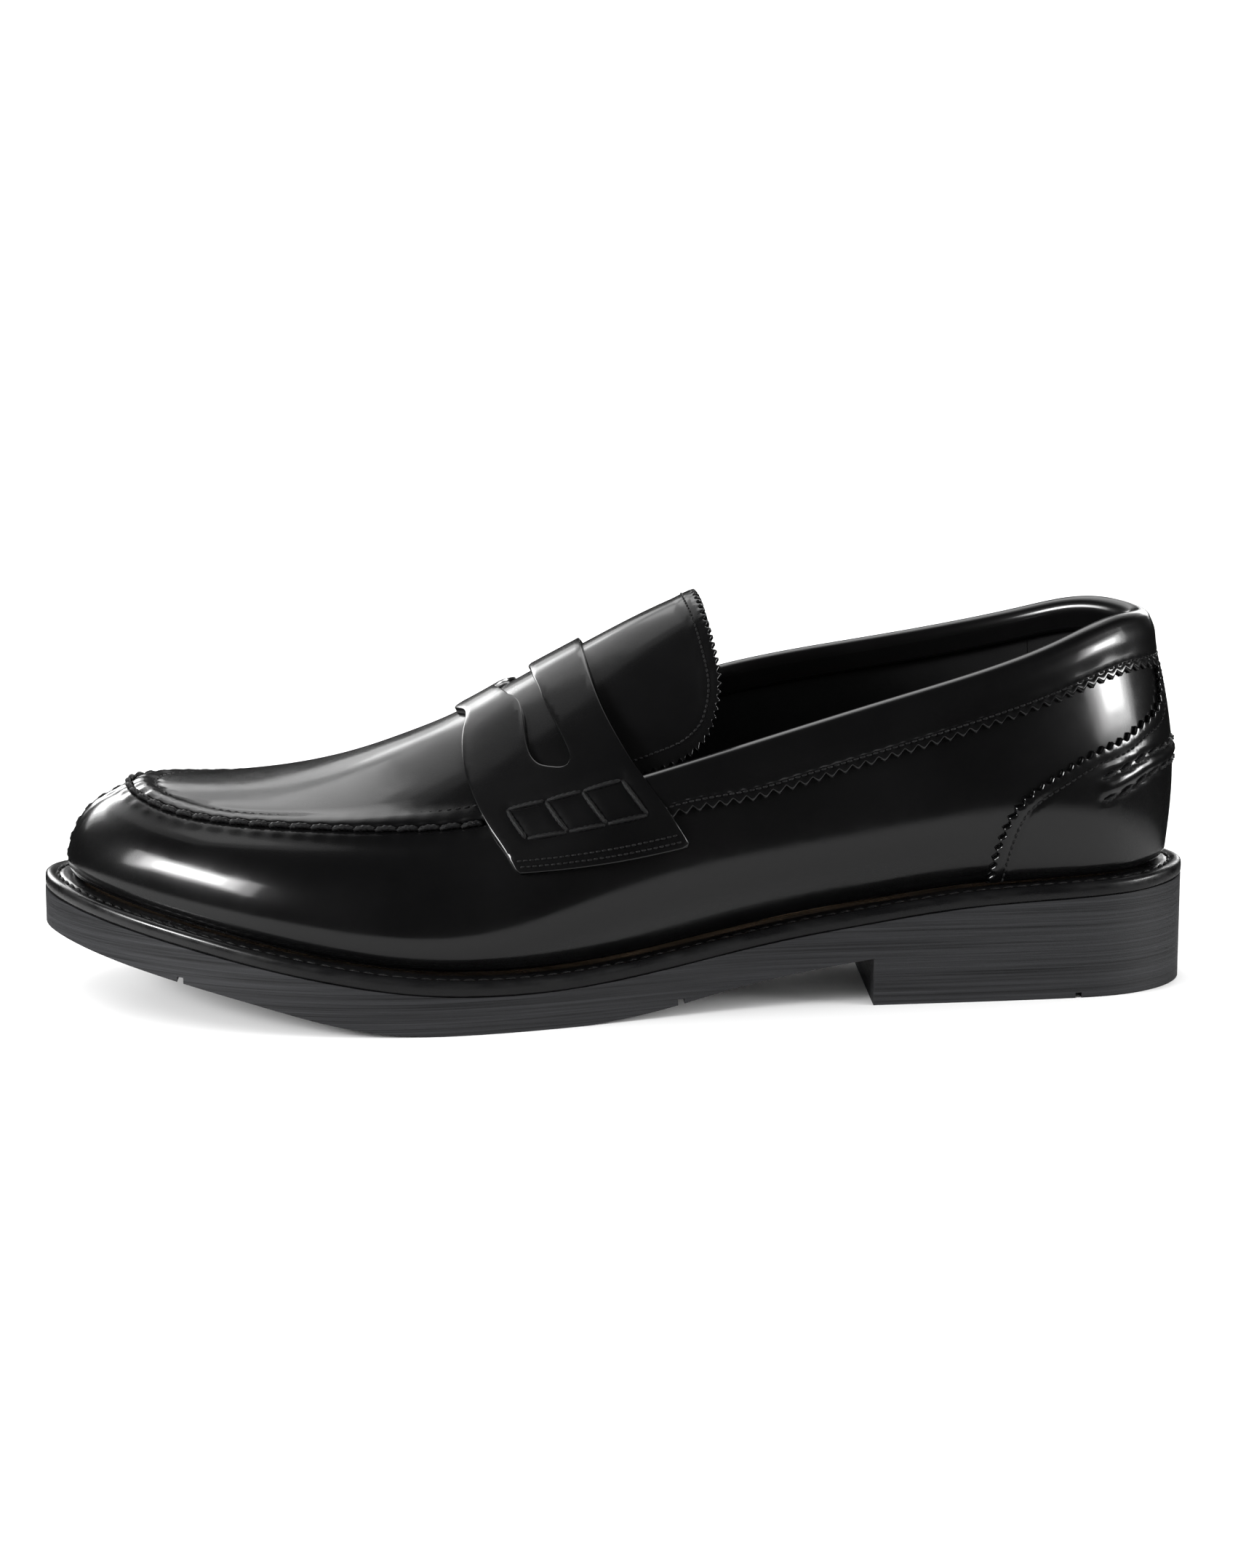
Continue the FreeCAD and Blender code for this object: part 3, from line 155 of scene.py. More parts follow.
class Spline:
    """A cubic spline through values at knots: closed if period is given, else natural."""

    def __init__(self, knots, values, period=None):
        knots, values = np.asarray(knots, float), np.asarray(values, float)
        self.flat, self.period, size = values.ndim == 1, period, len(knots)
        values = values.reshape(size, -1)
        if period:
            knots = np.append(knots, knots[0] + period)
            values = np.vstack([values, values[:1]])
        gap = np.diff(knots)
        slope = np.diff(values, axis=0) / gap[:, None]
        matrix, right = np.zeros((size, size)), np.zeros((size, values.shape[1]))
        for i in range(size):
            if not period and i in (0, size - 1):
                matrix[i, i] = 1.0
                continue
            before, after = (i - 1) % size, (i + 1) % size
            matrix[i, before] += gap[before]
            matrix[i, i] += 2.0 * (gap[before] + gap[i])
            matrix[i, after] += gap[i]
            right[i] = 6.0 * (slope[i] - slope[before])
        bends = np.linalg.solve(matrix, right)
        self.bends = np.vstack([bends, bends[:1]]) if period else bends
        self.knots, self.values = knots, values

    def __call__(self, t):
        t = np.asarray(t, float)
        if self.period:
            t = self.knots[0] + (t - self.knots[0]) % self.period
        i = np.clip(np.searchsorted(self.knots, t, side="right") - 1, 0, len(self.knots) - 2)
        gap = self.knots[i + 1] - self.knots[i]
        b = ((t - self.knots[i]) / gap)[..., None]
        a = 1.0 - b
        bend = (a ** 3 - a) * self.bends[i] + (b ** 3 - b) * self.bends[i + 1]
        found = a * self.values[i] + b * self.values[i + 1] + bend * (gap ** 2)[..., None] / 6.0
        return found[..., 0] if self.flat else found


def profile(points):
    """A natural spline z(y) through (y, z) points."""
    points = np.array(sorted(points)) * (LONG, 1.0)
    return Spline(points[:, 0], points[:, 1])


def across(points):
    """A spline y(share) through (share, y) points, the same on both sides of the ridge."""
    points = np.array(points) * (1.0, LONG)
    both = np.vstack([points[:0:-1] * (-1.0, 1.0), points])
    return Spline(both[:, 0], both[:, 1])


sole_top, ridge_height = profile(SOLE_TOP), profile(RIDGE)
saddle_front, saddle_rear = across(SADDLE_FRONT), across(SADDLE_REAR)
FORM = RIBS * (WIDE, LONG, 1.0)
WIDEST = FORM[:, 0]
STEPS = np.linalg.norm(np.roll(WIDEST, -1, axis=0) - WIDEST, axis=1)
KNOTS = np.concatenate([[0.0], np.cumsum(STEPS)[:-1]])
LOOP = float(STEPS.sum())
TOE = float(KNOTS[TOE_RIB])
edge_curve = Spline(KNOTS, SOLE_EDGE * (WIDE, LONG), LOOP)
level_curves = [Spline(KNOTS, FORM[:, k], LOOP) for k in range(3)]
top_curve = level_curves[2]
# Steps for taking slopes: along the shoe's outline; round and up the wall; over the crown in x and
# in y; over the arch and the saddle in share and in y.
SLOPE_STEP, WALL_STEPS, CROWN_STEPS, ARCH_STEPS = 0.05, (0.4, 0.004), (0.3, 0.3), (0.006, 0.3)


def moved_in(curve, t, inset):
    """Points of a closed plan curve, moved inwards by inset."""
    t = np.asarray(t, float)
    here = curve(t)[..., :2]
    along = row_normal(curve(t + SLOPE_STEP)[..., :2] - curve(t - SLOPE_STEP)[..., :2])
    inset = np.asarray(inset, float)[..., None]
    return here + inset * np.stack([along[..., 1], -along[..., 0]], -1)


def outline(t, inset):
    """The sole's outline in plan."""
    return moved_in(edge_curve, t, inset)


def seam_plan(t, inset):
    """The apron seam in plan."""
    return moved_in(top_curve, t, inset)


def rib_points(t):
    """The four points of the side wall's cross-section at each t."""
    foot = outline(t, np.full(np.shape(t), FEATHER_INSET))
    foot_height = sole_top(foot[..., 1]) + WELT_THICKNESS + FOOT_GAP
    foot = np.concatenate([foot, foot_height[..., None]], -1)
    return [foot] + [curve(t) for curve in level_curves]


def rib_length(t):
    """The length of the wall's cross-section at t, by straight steps between its points."""
    points = rib_points(np.asarray(t, float))
    return sum(np.linalg.norm(b - a, axis=-1) for a, b in zip(points, points[1:]))


def wall(t, v):
    """The outer surface of the side wall: t runs round the shoe, v from 0 at the welt to 1."""
    t, v = floats(t, v)
    p = rib_points(t)
    g = [np.linalg.norm(b - a, axis=-1) for a, b in zip(p, p[1:])]
    total = g[0] + g[1] + g[2]
    g = [x / total for x in g]
    d = [(b - a) / x[..., None] for a, b, x in zip(p, p[1:], g)]
    a11, a12, a22 = 2 * (g[0] + g[1]), g[1], 2 * (g[1] + g[2])
    r1, r2 = 6 * (d[1] - d[0]), 6 * (d[2] - d[1])
    det = (a11 * a22 - a12 * a12)[..., None]
    m1 = (r1 * a22[..., None] - r2 * a12[..., None]) / det
    m2 = (r2 * a11[..., None] - r1 * a12[..., None]) / det
    zero = np.zeros_like(m1)
    k1, k2 = g[0], g[0] + g[1]
    bends = (zero, m1, m2, zero)
    starts = (np.zeros_like(k1), k1, k2)
    found = np.zeros_like(p[0])
    for i, mask in enumerate((v <= k1, (v > k1) & (v <= k2), v > k2)):
        b = ((v - starts[i]) / g[i])[..., None]
        a = 1.0 - b
        bend = (a ** 3 - a) * bends[i] + (b ** 3 - b) * bends[i + 1]
        part = a * p[i] + b * p[i + 1] + bend * (g[i] ** 2)[..., None] / 6.0
        found = np.where(mask[..., None], part, found)
    return found


def surface_normal(surface, a, b, steps):
    """Unit normals of a surface function, by the right-hand rule from a to b."""
    along = surface(a + steps[0], b) - surface(a - steps[0], b)
    over = surface(a, b + steps[1]) - surface(a, b - steps[1])
    return row_normal(np.cross(along, over))


def lifted(surface, a, b, depth, steps):
    """Points of a surface function, moved along its normal by depth."""
    a, b, depth = floats(a, b, depth)
    return surface(a, b) + surface_normal(surface, a, b, steps) * depth[..., None]


def wall_normal(t, v):
    """The wall's normal, out of the shoe."""
    return -surface_normal(wall, t, v, WALL_STEPS)


def wall_at(t, v, depth):
    """Points on the side wall at a depth: positive stands proud of the leather's face."""
    return lifted(wall, t, v, -np.asarray(depth, float), WALL_STEPS)


def drop(t, below):
    """The height share of the wall at a distance below its top edge."""
    return 1.0 - np.asarray(below, float) / rib_length(t)


def side_span(side):
    """Even stations round one side: 1 is the outer side, -1 the inner."""
    return np.linspace(0.0, TOE, 1500) if side > 0 else np.linspace(TOE, LOOP, 1500)


def side_table(side):
    """The wall's top edge on one side, as rows of y, x, z and t with y rising."""
    t = side_span(side)
    top = top_curve(t)
    rows = np.column_stack([top[:, 1], top[:, 0], top[:, 2], t])
    return rows[np.argsort(rows[:, 0])]


SIDE_TABLES = {side: side_table(side) for side in (1, -1)}


def top_edge(y, side):
    """x, z and t of the wall's top edge at y on one side."""
    rows = SIDE_TABLES[side]
    return [np.interp(y, rows[:, 0], rows[:, k]) for k in (1, 2, 3)]


def t_at(y, side):
    """Where round the shoe its top edge passes y on one side."""
    return top_edge(y, side)[2]


def by_side(mask, function):
    """Evaluates a function of the side on the outer side where mask holds, else on the inner."""
    return np.where(mask, function(1), function(-1))


def reach_at(y, outer):
    """How far the seam lies from the ridge at y, on the outer side where outer holds."""
    return by_side(outer, lambda side: np.abs(top_edge(y, side)[0] - RIDGE_X))


CROWN_STATIONS = np.array((-226.0, -212.0, -195.0, -175.0, -157.0, -141.0, -124.0, -110.0, -96.0,
                           -84.0)) * LONG


def crown_bend(side):
    """How sharply the crown falls from the ridge to the seam on one side, as a spline over y."""
    seam_x, seam_z, _ = top_edge(CROWN_STATIONS, side)
    fall = (ridge_height(CROWN_STATIONS) - seam_z) / (seam_x - RIDGE_X) ** 2
    return Spline(CROWN_STATIONS, fall)


CROWN_BENDS = {side: crown_bend(side) for side in (1, -1)}


def crown(x, y):
    """The outer surface of the apron, instep and tongue, as a height over (x, y)."""
    x, y = floats(x, y)
    held = np.clip(y, CROWN_STATIONS[0], CROWN_STATIONS[-1])
    bend = by_side(x >= RIDGE_X, lambda side: CROWN_BENDS[side](held))
    return np.stack([x, y, ridge_height(y) - bend * (x - RIDGE_X) ** 2], -1)


def crown_at(x, y, depth):
    """Points over the crown at a depth."""
    return lifted(crown, x, y, depth, CROWN_STEPS)


def arch(share, y, tuck=0.0):
    """The crown by its share of the way to the seam, drawn in by tuck at the seam."""
    share, y, tuck = floats(share, y, tuck)
    reach = reach_at(y, share >= 0)
    height = crown(RIDGE_X + share * reach, y)[..., 2]
    return np.stack([RIDGE_X + share * (reach - tuck), y, height], -1)


def arch_at(share, y, depth, tuck=0.0):
    """Points over the arch at a depth."""
    return lifted(lambda a, b: arch(a, b, tuck), share, y, depth, ARCH_STEPS)


# How fast the saddle runs down the wall past the seam, and how it rounds the seam below it: over
# this share to each side, and raised by this much.
DRAPE_RATE = 1.05
SEAM_ROUND, SEAM_NEAR, SEAM_RISE = 0.13, 0.22, 0.9
ROUND_WEIGHTS = ((-1.0, 0.1), (-0.6, 0.2), (-0.2, 0.2), (0.2, 0.2), (0.6, 0.2), (1.0, 0.1))
# The height of the middle of the foot, from which the leather over the seam is pushed outwards.
FOOT_MIDDLE = 30.0


def drape_surface(share, y):
    """The surface the saddle lies on: the crown inside the seam, the side wall past it."""
    share, y = floats(share, y)
    t = by_side(share >= 0, lambda side: t_at(y, side))
    over = np.maximum(np.abs(share) - 1.0, 0.0)
    on_wall = wall(t, 1.0 - over * DRAPE_RATE)
    return np.where((np.abs(share) <= 1.0)[..., None], arch(np.clip(share, -1, 1), y), on_wall)


def drape(share, y):
    """The saddle's lower surface, rounded where it passes over the seam."""
    share, y = floats(share, y)
    near = hump(np.abs(share) - 1.0, SEAM_NEAR)
    blurred = sum(w * drape_surface(share + k * SEAM_ROUND * near, y) for k, w in ROUND_WEIGHTS)
    out = row_normal(blurred - np.stack([0 * y + RIDGE_X, y, 0 * y + FOOT_MIDDLE], -1))
    return blurred + out * (SEAM_RISE * near)[..., None]


def drape_at(share, y, depth):
    """Points over the saddle's lower surface at a depth."""
    return lifted(drape, share, y, depth, ARCH_STEPS)


# ---- Meshes ----
def mesh_piece(name, node, shape, material, body="shoe", merge=0.0):
    """A mesh object from points in millimetres and faces, riding on a body, for a CAD node."""
    points, faces = shape
    mesh = bpy.data.meshes.new(name)
    mesh.from_pydata((np.asarray(points) * MM).tolist(), [], faces)
    clean(mesh, merge)
    mesh.validate()
    mesh.update()
    mesh.polygons.foreach_set("use_smooth", [True] * len(mesh.polygons))
    mesh.materials.append(material)
    piece = bpy.data.objects.new(name, mesh)
    bpy.context.scene.collection.objects.link(piece)
    if body:
        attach(piece, body)
    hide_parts(node)
    return piece


def clean(mesh, merge):
    """Joins points closer than merge millimetres and turns the faces outwards."""
    work = bmesh.new()
    work.from_mesh(mesh)
    if merge:
        bmesh.ops.remove_doubles(work, verts=work.verts, dist=merge * MM)
    bmesh.ops.recalc_face_normals(work, faces=work.faces)
    work.to_mesh(mesh)
    work.free()


def grid_faces(rows, columns, start=0, flip=False, close_rows=False, close_columns=False):
    """Quads over a grid of points stored row by row."""
    i, j = np.meshgrid(np.arange(rows if close_rows else rows - 1),
                       np.arange(columns if close_columns else columns - 1), indexing="ij")
    k, l = (i + 1) % rows, (j + 1) % columns
    quads = np.stack([i * columns + j, k * columns + j, k * columns + l, i * columns + l], -1)
    quads = quads.reshape(-1, 4) + start
    return (quads[:, ::-1] if flip else quads).tolist()


def closed_sheet(outer, inner, folded=False):
    """A sheet's two faces and the rims between them; a folded last row lies on itself, rimless."""
    rows, columns = outer.shape[:2]
    count = rows * columns
    points = np.concatenate([outer.reshape(-1, 3), inner.reshape(-1, 3)])
    faces = grid_faces(rows, columns) + grid_faces(rows, columns, count, flip=True)
    index = np.arange(count).reshape(rows, columns)
    loop = np.concatenate([index[0, :-1], index[:-1, -1], index[-1, :0:-1], index[:0:-1, 0]])
    after = np.roll(loop, -1)
    rims = np.stack([loop, after, after + count, loop + count], -1)
    if folded:
        rims = rims[~np.isin(rims[:, :2], index[-1]).all(axis=1)]
    return points, faces + rims.tolist()


def edge_steps(size, pitch, fillet):
    """Stations 0..1 along a size in millimetres, with extra ones near both ends for round edges."""
    ends = np.array((0.0, 0.12, 0.35, 0.65, 1.0)) * fillet / size
    middle = np.linspace(ends[-1], 1 - ends[-1], max(int(size / pitch), 2) + 1)
    return np.concatenate([ends[:-1], middle, 1 - ends[-2::-1]])


def edge_fall(distance, fillet):
    """How far a round edge falls below the face at a distance from the edge."""
    x = np.clip(1.0 - distance / fillet, 0.0, 1.0)
    return fillet * (1.0 - np.sqrt(1.0 - x * x))


def sheet(place, size, layer, pitch, fillet, relief):
    """A sheet of leather: place(p, q, depth) for p, q in 0..1; layer is its inner and outer depth."""
    p, q = np.meshgrid(*[edge_steps(length, pitch, fillet) for length in size], indexing="ij")
    near = [np.minimum(share, 1 - share) * length for share, length in zip((p, q), size)]
    fall = np.maximum(edge_fall(near[0], fillet), edge_fall(near[1], fillet))
    outer = place(p, q, layer[1] - fall + relief(p, q))
    return closed_sheet(outer, place(p, q, np.full_like(p, layer[0])))


def frames_along(path, ups):
    """Along, side and up directions at each point of a path."""
    along = row_normal(np.gradient(path, axis=0))
    side = row_normal(np.cross(ups, along))
    return along, side, np.cross(along, side)


def tube(path, ups, radius, sides, plies, twist):
    """A closed tube along a path; plies and twist give the look of twisted cord."""
    n = len(path)
    _, side, up = frames_along(path, ups)
    angle = np.linspace(0, 2 * math.pi, sides, endpoint=False)[None, :]
    swell = 1.0
    if plies:
        swell = 1.0 + CORD_SWELL * np.cos(plies * angle - twist * distances(path)[:, None])
    r = radius[:, None] * swell
    over = side[:, None] * (r * np.cos(angle))[..., None]
    ring = path[:, None] + over + up[:, None] * (r * np.sin(angle))[..., None]
    points = np.concatenate([ring.reshape(-1, 3), path[:1], path[-1:]])
    faces = grid_faces(n, sides, close_columns=True)
    last = (n - 1) * sides
    for k in range(sides):
        m = (k + 1) % sides
        faces.append((n * sides, k, m))
        faces.append((n * sides + 1, last + m, last + k))
    return points, faces


def joined(parts):
    """Points and faces of several meshes as one."""
    points, faces, start = [], [], 0
    for more_points, more_faces in parts:
        points.append(more_points)
        faces += [tuple(int(i) + start for i in face) for face in more_faces]
        start += len(more_points)
    return np.concatenate(points), faces


def stitch_row(path, ups, pitch, radius, fill, rise, sink, sides, rings, slant=0.0, plies=0, twist=0.0):
    """Separate stitches along a path: each one dips into its holes at both ends."""
    gaps = distances(path)
    even = np.linspace(0, gaps[-1], ROW_POINTS)
    dense, ups = sampled(path, gaps, even), row_normal(sampled(ups, gaps, even))
    _, side, up = frames_along(dense, ups)
    count = max(int(round(gaps[-1] / pitch)), 1)
    u = np.linspace(0, 1, rings)
    arc = np.sin(math.pi * u) ** 0.6
    thick = radius * (0.72 + 0.28 * np.sin(math.pi * u) ** 0.5)
    parts = []
    for k in range(count):
        at = (k + 0.5 + np.linspace(-0.5, 0.5, rings) * fill) / count * (ROW_POINTS - 1)
        centre, over, out = [sampled(values, np.arange(ROW_POINTS), at) for values in (dense, side, up)]
        centre = centre + out * (radius * (rise * arc - sink * (1 - arc)))[:, None]
        centre = centre + over * (slant * radius * (u - 0.5))[:, None]
        parts.append(tube(centre, row_normal(out), thick, sides, plies, twist))
    return joined(parts)


def thread_piece(name, node, parts, body="shoe"):
    """One mesh of thread from several rows of stitches."""
    return mesh_piece(name, node, joined(parts), THREAD, body=body)


# Each kind of stitch: its pitch and its radius; the share of the pitch that it fills; how far it
# rises, sinks and slants, in radii; the sides and rings of its mesh; its cord's plies and twist.
CORD_SWELL, ROW_POINTS = 0.22, 2400
ROPE = dict(plies=3, twist=4.6, sink=1.3, sides=10, rings=13)
FINE = dict(radius=0.3, fill=0.8, rise=0.6, sink=1.3, sides=6, rings=6)
STITCHES = {
    "moccasin": dict(ROPE, pitch=5.4, radius=0.66, fill=0.95, rise=0.24, sink=0.7, slant=0.7, sides=12,
                     rings=15, twist=4.2),
    "toe": dict(ROPE, pitch=4.6, radius=0.4, fill=0.8, rise=0.3, sink=1.2, sides=8, rings=9, twist=4.4),
    "pleat": dict(ROPE, pitch=5.6, radius=0.62, fill=0.86, rise=0.6, slant=1.4),
    "apron": dict(FINE, pitch=2.3, rise=0.5, sink=1.4),
    "saddle_end": dict(FINE, pitch=1.5, radius=0.27, rise=0.5, sink=1.2),
    "collar": dict(FINE, pitch=1.75),
    "foxing": dict(FINE, pitch=1.8),
    "tongue": dict(FINE, pitch=1.45),
    "welt": dict(FINE, pitch=3.6, radius=0.42, fill=0.82, rise=0.35, sink=1.0, rings=7),
}


# ---- Materials ----
class Nodes:
    """A material's node tree, with short calls to add and join nodes."""

    def __init__(self, name):
        self.material = bpy.data.materials.new(name)
        self.material.use_nodes = True
        self.tree = self.material.node_tree
        self.shader = self.tree.nodes["Principled BSDF"]
        self.place = self.add("ShaderNodeTexCoord").outputs["Object"]

    def add(self, kind, **values):
        node = self.tree.nodes.new(kind)
        for key, value in values.items():
            if key in node.inputs:
                node.inputs[key].default_value = value
            else:
                setattr(node, key, value)
        return node

    def link(self, source, target):
        self.tree.links.new(source, target)

    def feed(self, name, source):
        """Joins a value or colour to an input of the shader."""
        self.link(source, self.shader.inputs[name])

    def noise(self, scale, detail=3.0, roughness=0.55, stretch=None):
        node = self.add("ShaderNodeTexNoise", Scale=scale, Detail=detail, Roughness=roughness)
        self.link(self.stretched(stretch), node.inputs["Vector"])
        return node.outputs["Fac"]

    def cells(self, scale, feature="DISTANCE_TO_EDGE"):
        node = self.add("ShaderNodeTexVoronoi", feature=feature, Scale=scale)
        self.link(self.place, node.inputs["Vector"])
        return node.outputs["Distance"]

    def stretched(self, stretch):
        """The place on the object, scaled by stretch if it is given."""
        if not stretch:
            return self.place
        node = self.add("ShaderNodeMapping", Scale=stretch)
        self.link(self.place, node.inputs["Vector"])
        return node.outputs["Vector"]

    def ramp(self, source, low, high, from_low=0.0, from_high=1.0):
        """A value that runs from low to high while the source runs between its own two."""
        limits = {"From Min": from_low, "From Max": from_high, "To Min": low, "To Max": high}
        node = self.add("ShaderNodeMapRange", **limits)
        self.link(source, node.inputs["Value"])
        return node.outputs["Result"]

    def length(self, source):
        node = self.add("ShaderNodeVectorMath", operation="LENGTH")
        self.link(source, node.inputs[0])
        return node.outputs["Value"]

    def colour(self, source, low, high):
        """The shader's colour, running from low to high with a value."""
        node = self.add("ShaderNodeMix", data_type="RGBA")
        node.inputs["A"].default_value = (*low, 1.0)
        node.inputs["B"].default_value = (*high, 1.0)
        self.link(source, node.inputs["Factor"])
        self.feed("Base Color", next(output for output in node.outputs if output.type == "RGBA"))

    def bump(self, *layers):
        """Adds bump layers, each a height source, its strength and its height in millimetres."""
        normal = None
        for source, strength, height in layers:
            node = self.add("ShaderNodeBump", Strength=strength, Distance=height * MM)
            self.link(source, node.inputs["Height"])
            if normal:
                self.link(normal, node.inputs["Normal"])
            normal = node.outputs["Normal"]
        self.feed("Normal", normal)

    def set(self, **values):
        for key, value in values.items():
            self.shader.inputs[key.replace("_", " ")].default_value = value


def polished_leather():
    """Black box calf with a high polish: soft mirror coat, pores, faint creases and smears."""
    n = Nodes("polished_leather")
    smear = n.noise(38.0, 4.0)
    n.colour(smear, (0.0012, 0.0012, 0.0013), (0.0026, 0.0026, 0.0028))
    n.feed("Roughness", n.ramp(smear, 0.30, 0.42, 0.3, 0.7))
    n.set(Coat_Weight=1.0, Coat_IOR=1.5, Specular_IOR_Level=0.12)
    n.feed("Coat Roughness", n.ramp(n.noise(120.0), 0.10, 0.17, 0.3, 0.7))
    pores = n.ramp(n.cells(2300.0), 0.0, 1.0, 0.0, 0.25)
    grain = n.noise(900.0, 4.0, 0.6)
    swell = n.noise(70.0, 2.0)
    n.bump((swell, 0.22, 0.35), (grain, 0.10, 0.05), (pores, 0.10, 0.04))
    soft = n.add("ShaderNodeBump", Strength=0.16, Distance=0.35 * MM)
    n.link(swell, soft.inputs["Height"])
    n.feed("Coat Normal", soft.outputs["Normal"])
    return n.material


def lining_leather():
    """Matte black lining: fine grain with a slight nap."""
    n = Nodes("lining_leather")
    n.colour(n.noise(160.0, 5.0), (0.0018, 0.0018, 0.002), (0.005, 0.005, 0.0054))
    n.set(Roughness=0.66, Sheen_Weight=0.03, Sheen_Roughness=0.5, Specular_IOR_Level=0.3)
    n.bump((n.cells(1500.0), 0.35, 0.12), (n.noise(600.0, 5.0), 0.3, 0.08))
    return n.material


def welt_leather():
    """The painted welt: black, a little rough, glossy round the toe."""
    n = Nodes("welt_leather")
    patches = n.noise(220.0, 5.0, 0.6, (1.0, 0.25, 1.0))
    n.colour(patches, (0.002, 0.002, 0.0022), (0.006, 0.006, 0.0064))
    n.feed("Roughness", n.ramp(patches, 0.22, 0.5, 0.35, 0.65))
    along = n.add("ShaderNodeSeparateXYZ")
    n.link(n.place, along.inputs[0])
    n.feed("Coat Weight", n.ramp(along.outputs["Y"], 0.9, 0.12, *TOE_GLOSS))
    n.set(Coat_Roughness=0.2, Specular_IOR_Level=0.3)
    n.bump((n.noise(520.0, 5.0, 0.65, (1.0, 0.3, 1.0)), 0.55, 0.16), (n.noise(130.0), 0.4, 0.3))
    return n.material


def milled_rubber():
    """Charcoal sole rubber whose edge was milled: fine lines that run round the sole."""
    n = Nodes("sole_rubber")
    lines = n.noise(240.0, 6.0, 0.7, (0.10, 0.045, 7.5))
    coarse = n.noise(70.0, 3.0, 0.6, (0.2, 0.08, 5.0))
    specks = n.noise(2600.0, 3.0, 0.7)
    n.colour(n.ramp(lines, 0.0, 1.0, 0.32, 0.68), (0.0042, 0.0043, 0.005), (0.024, 0.0245, 0.027))
    n.feed("Roughness", n.ramp(lines, 0.50, 0.68, 0.3, 0.7))
    n.set(Specular_IOR_Level=0.3)
    n.bump((lines, 0.6, 0.14), (coarse, 0.35, 0.14), (specks, 0.35, 0.05))
    return n.material


def waxed_thread():
    """Black waxed thread, with fibres along it."""
    n = Nodes("thread")
    fibre = n.noise(2400.0, 4.0, 0.7)
    n.colour(fibre, (0.001, 0.001, 0.0011), (0.0036, 0.0036, 0.004))
    n.set(Roughness=0.4, Sheen_Weight=0.01, Specular_IOR_Level=0.26)
    n.bump((fibre, 1.0, 0.22))
    return n.material


def plain_cork():
    """Crumbs of cork, pressed together."""
    n = Nodes("cork")
    crumbs = n.cells(420.0, "F1")
    n.colour(n.ramp(crumbs, 0, 1, 0, 0.6), (0.30, 0.17, 0.08), (0.52, 0.34, 0.19))
    n.set(Roughness=0.9)
    n.bump((crumbs, 0.6, 0.5))
    return n.material


def spring_steel():
    """Brushed grey steel."""
    n = Nodes("steel")
    brushed = n.noise(900.0, 3.0, 0.6, (8.0, 0.2, 1.0))
    n.feed("Roughness", n.ramp(brushed, 0.28, 0.46))
    n.set(Base_Color=(0.36, 0.37, 0.39, 1.0), Metallic=1.0)
    n.bump((brushed, 0.3, 0.03))
    return n.material


def pressed_board():
    """Brown fibre board, for the insole and the stiffeners."""
    n = Nodes("fibre_board")
    fibre = n.noise(500.0, 6.0, 0.7, (1.0, 0.3, 1.0))
    n.colour(fibre, (0.20, 0.13, 0.075), (0.36, 0.25, 0.16))
    n.set(Roughness=0.88)
    n.bump((fibre, 0.5, 0.2))
    return n.material


def soft_foam():
    """Dark foam with open pores."""
    n = Nodes("foam")
    pores = n.cells(1400.0, "F1")
    n.colour(pores, (0.03, 0.03, 0.03), (0.09, 0.09, 0.09))
    n.set(Roughness=0.95)
    n.bump((pores, 0.7, 0.3))
    return n.material


# The stretch of y, in metres, over which the welt's gloss fades behind the toe.
TOE_GLOSS = (-0.245, -0.19)
LEATHER, LINING, WELT = polished_leather(), lining_leather(), welt_leather()
RUBBER, THREAD, BOARD = milled_rubber(), waxed_thread(), pressed_board()
# The frame's own shapes that are shown as they are, or lie hidden inside.
FRAME_FINISHES = {
    "outsole": RUBBER, "cork_filler": plain_cork(), "shank": spring_steel(), "insole_board": BOARD,
    "toe_puff": BOARD, "heel_counter": BOARD, "collar_padding": soft_foam(), "apron_lining": LINING,
}


def finish_frame_node(node, material):
    """Gives a shape of the frame its material and smooth shading."""
    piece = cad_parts[node]
    piece.data.materials.clear()
    piece.data.materials.append(material)
    for polygon in piece.data.polygons:
        polygon.material_index = 0
        polygon.use_smooth = True


# ---- Pieces cut from an outline, such as the saddle, the foxing and the tongue ----
def line_distance(points, line):
    """Each point's distance to an open line, all in one plane."""
    best = np.full(len(points), np.inf)
    for a, b in zip(line, line[1:]):
        d = b - a
        share = np.clip(((points - a) @ d) / max(d @ d, 1e-12), 0, 1)
        best = np.minimum(best, np.linalg.norm(points - a - share[:, None] * d, axis=1))
    return best


def rim_distance(points, loops):
    """Each point's distance to the nearest edge of closed loops, all in one plane."""
    return np.min([line_distance(points, np.vstack([loop, loop[:1]])) for loop in loops], axis=0)


# A round edge's rings lie at these shares of its radius; a triangular grid's rows are this close.
RING_SHARES, ROW_STEP = (0.15, 0.45, 1.0), 0.866
# A pinked tooth has this many points; a shape above 1 makes its sides a little hollow.
POINTS_PER_TOOTH, TOOTH_SHAPE = 7, 1.15


def inside(points, loop):
    """Whether each point lies inside a closed loop, by the even-odd rule."""
    found = np.zeros(len(points), bool)
    x, y = points[:, 0], points[:, 1]
    for (x0, y0), (x1, y1) in zip(loop, np.roll(loop, -1, axis=0)):
        if y0 == y1:
            continue
        crossed = ((y0 > y) != (y1 > y)) & (x < (x1 - x0) * (y - y0) / (y1 - y0) + x0)
        found ^= crossed
    return found


def clockwise(loop):
    """Whether a closed loop turns clockwise."""
    x, y = loop[:, 0], loop[:, 1]
    return np.sum(x * np.roll(y, -1) - np.roll(x, -1) * y) < 0


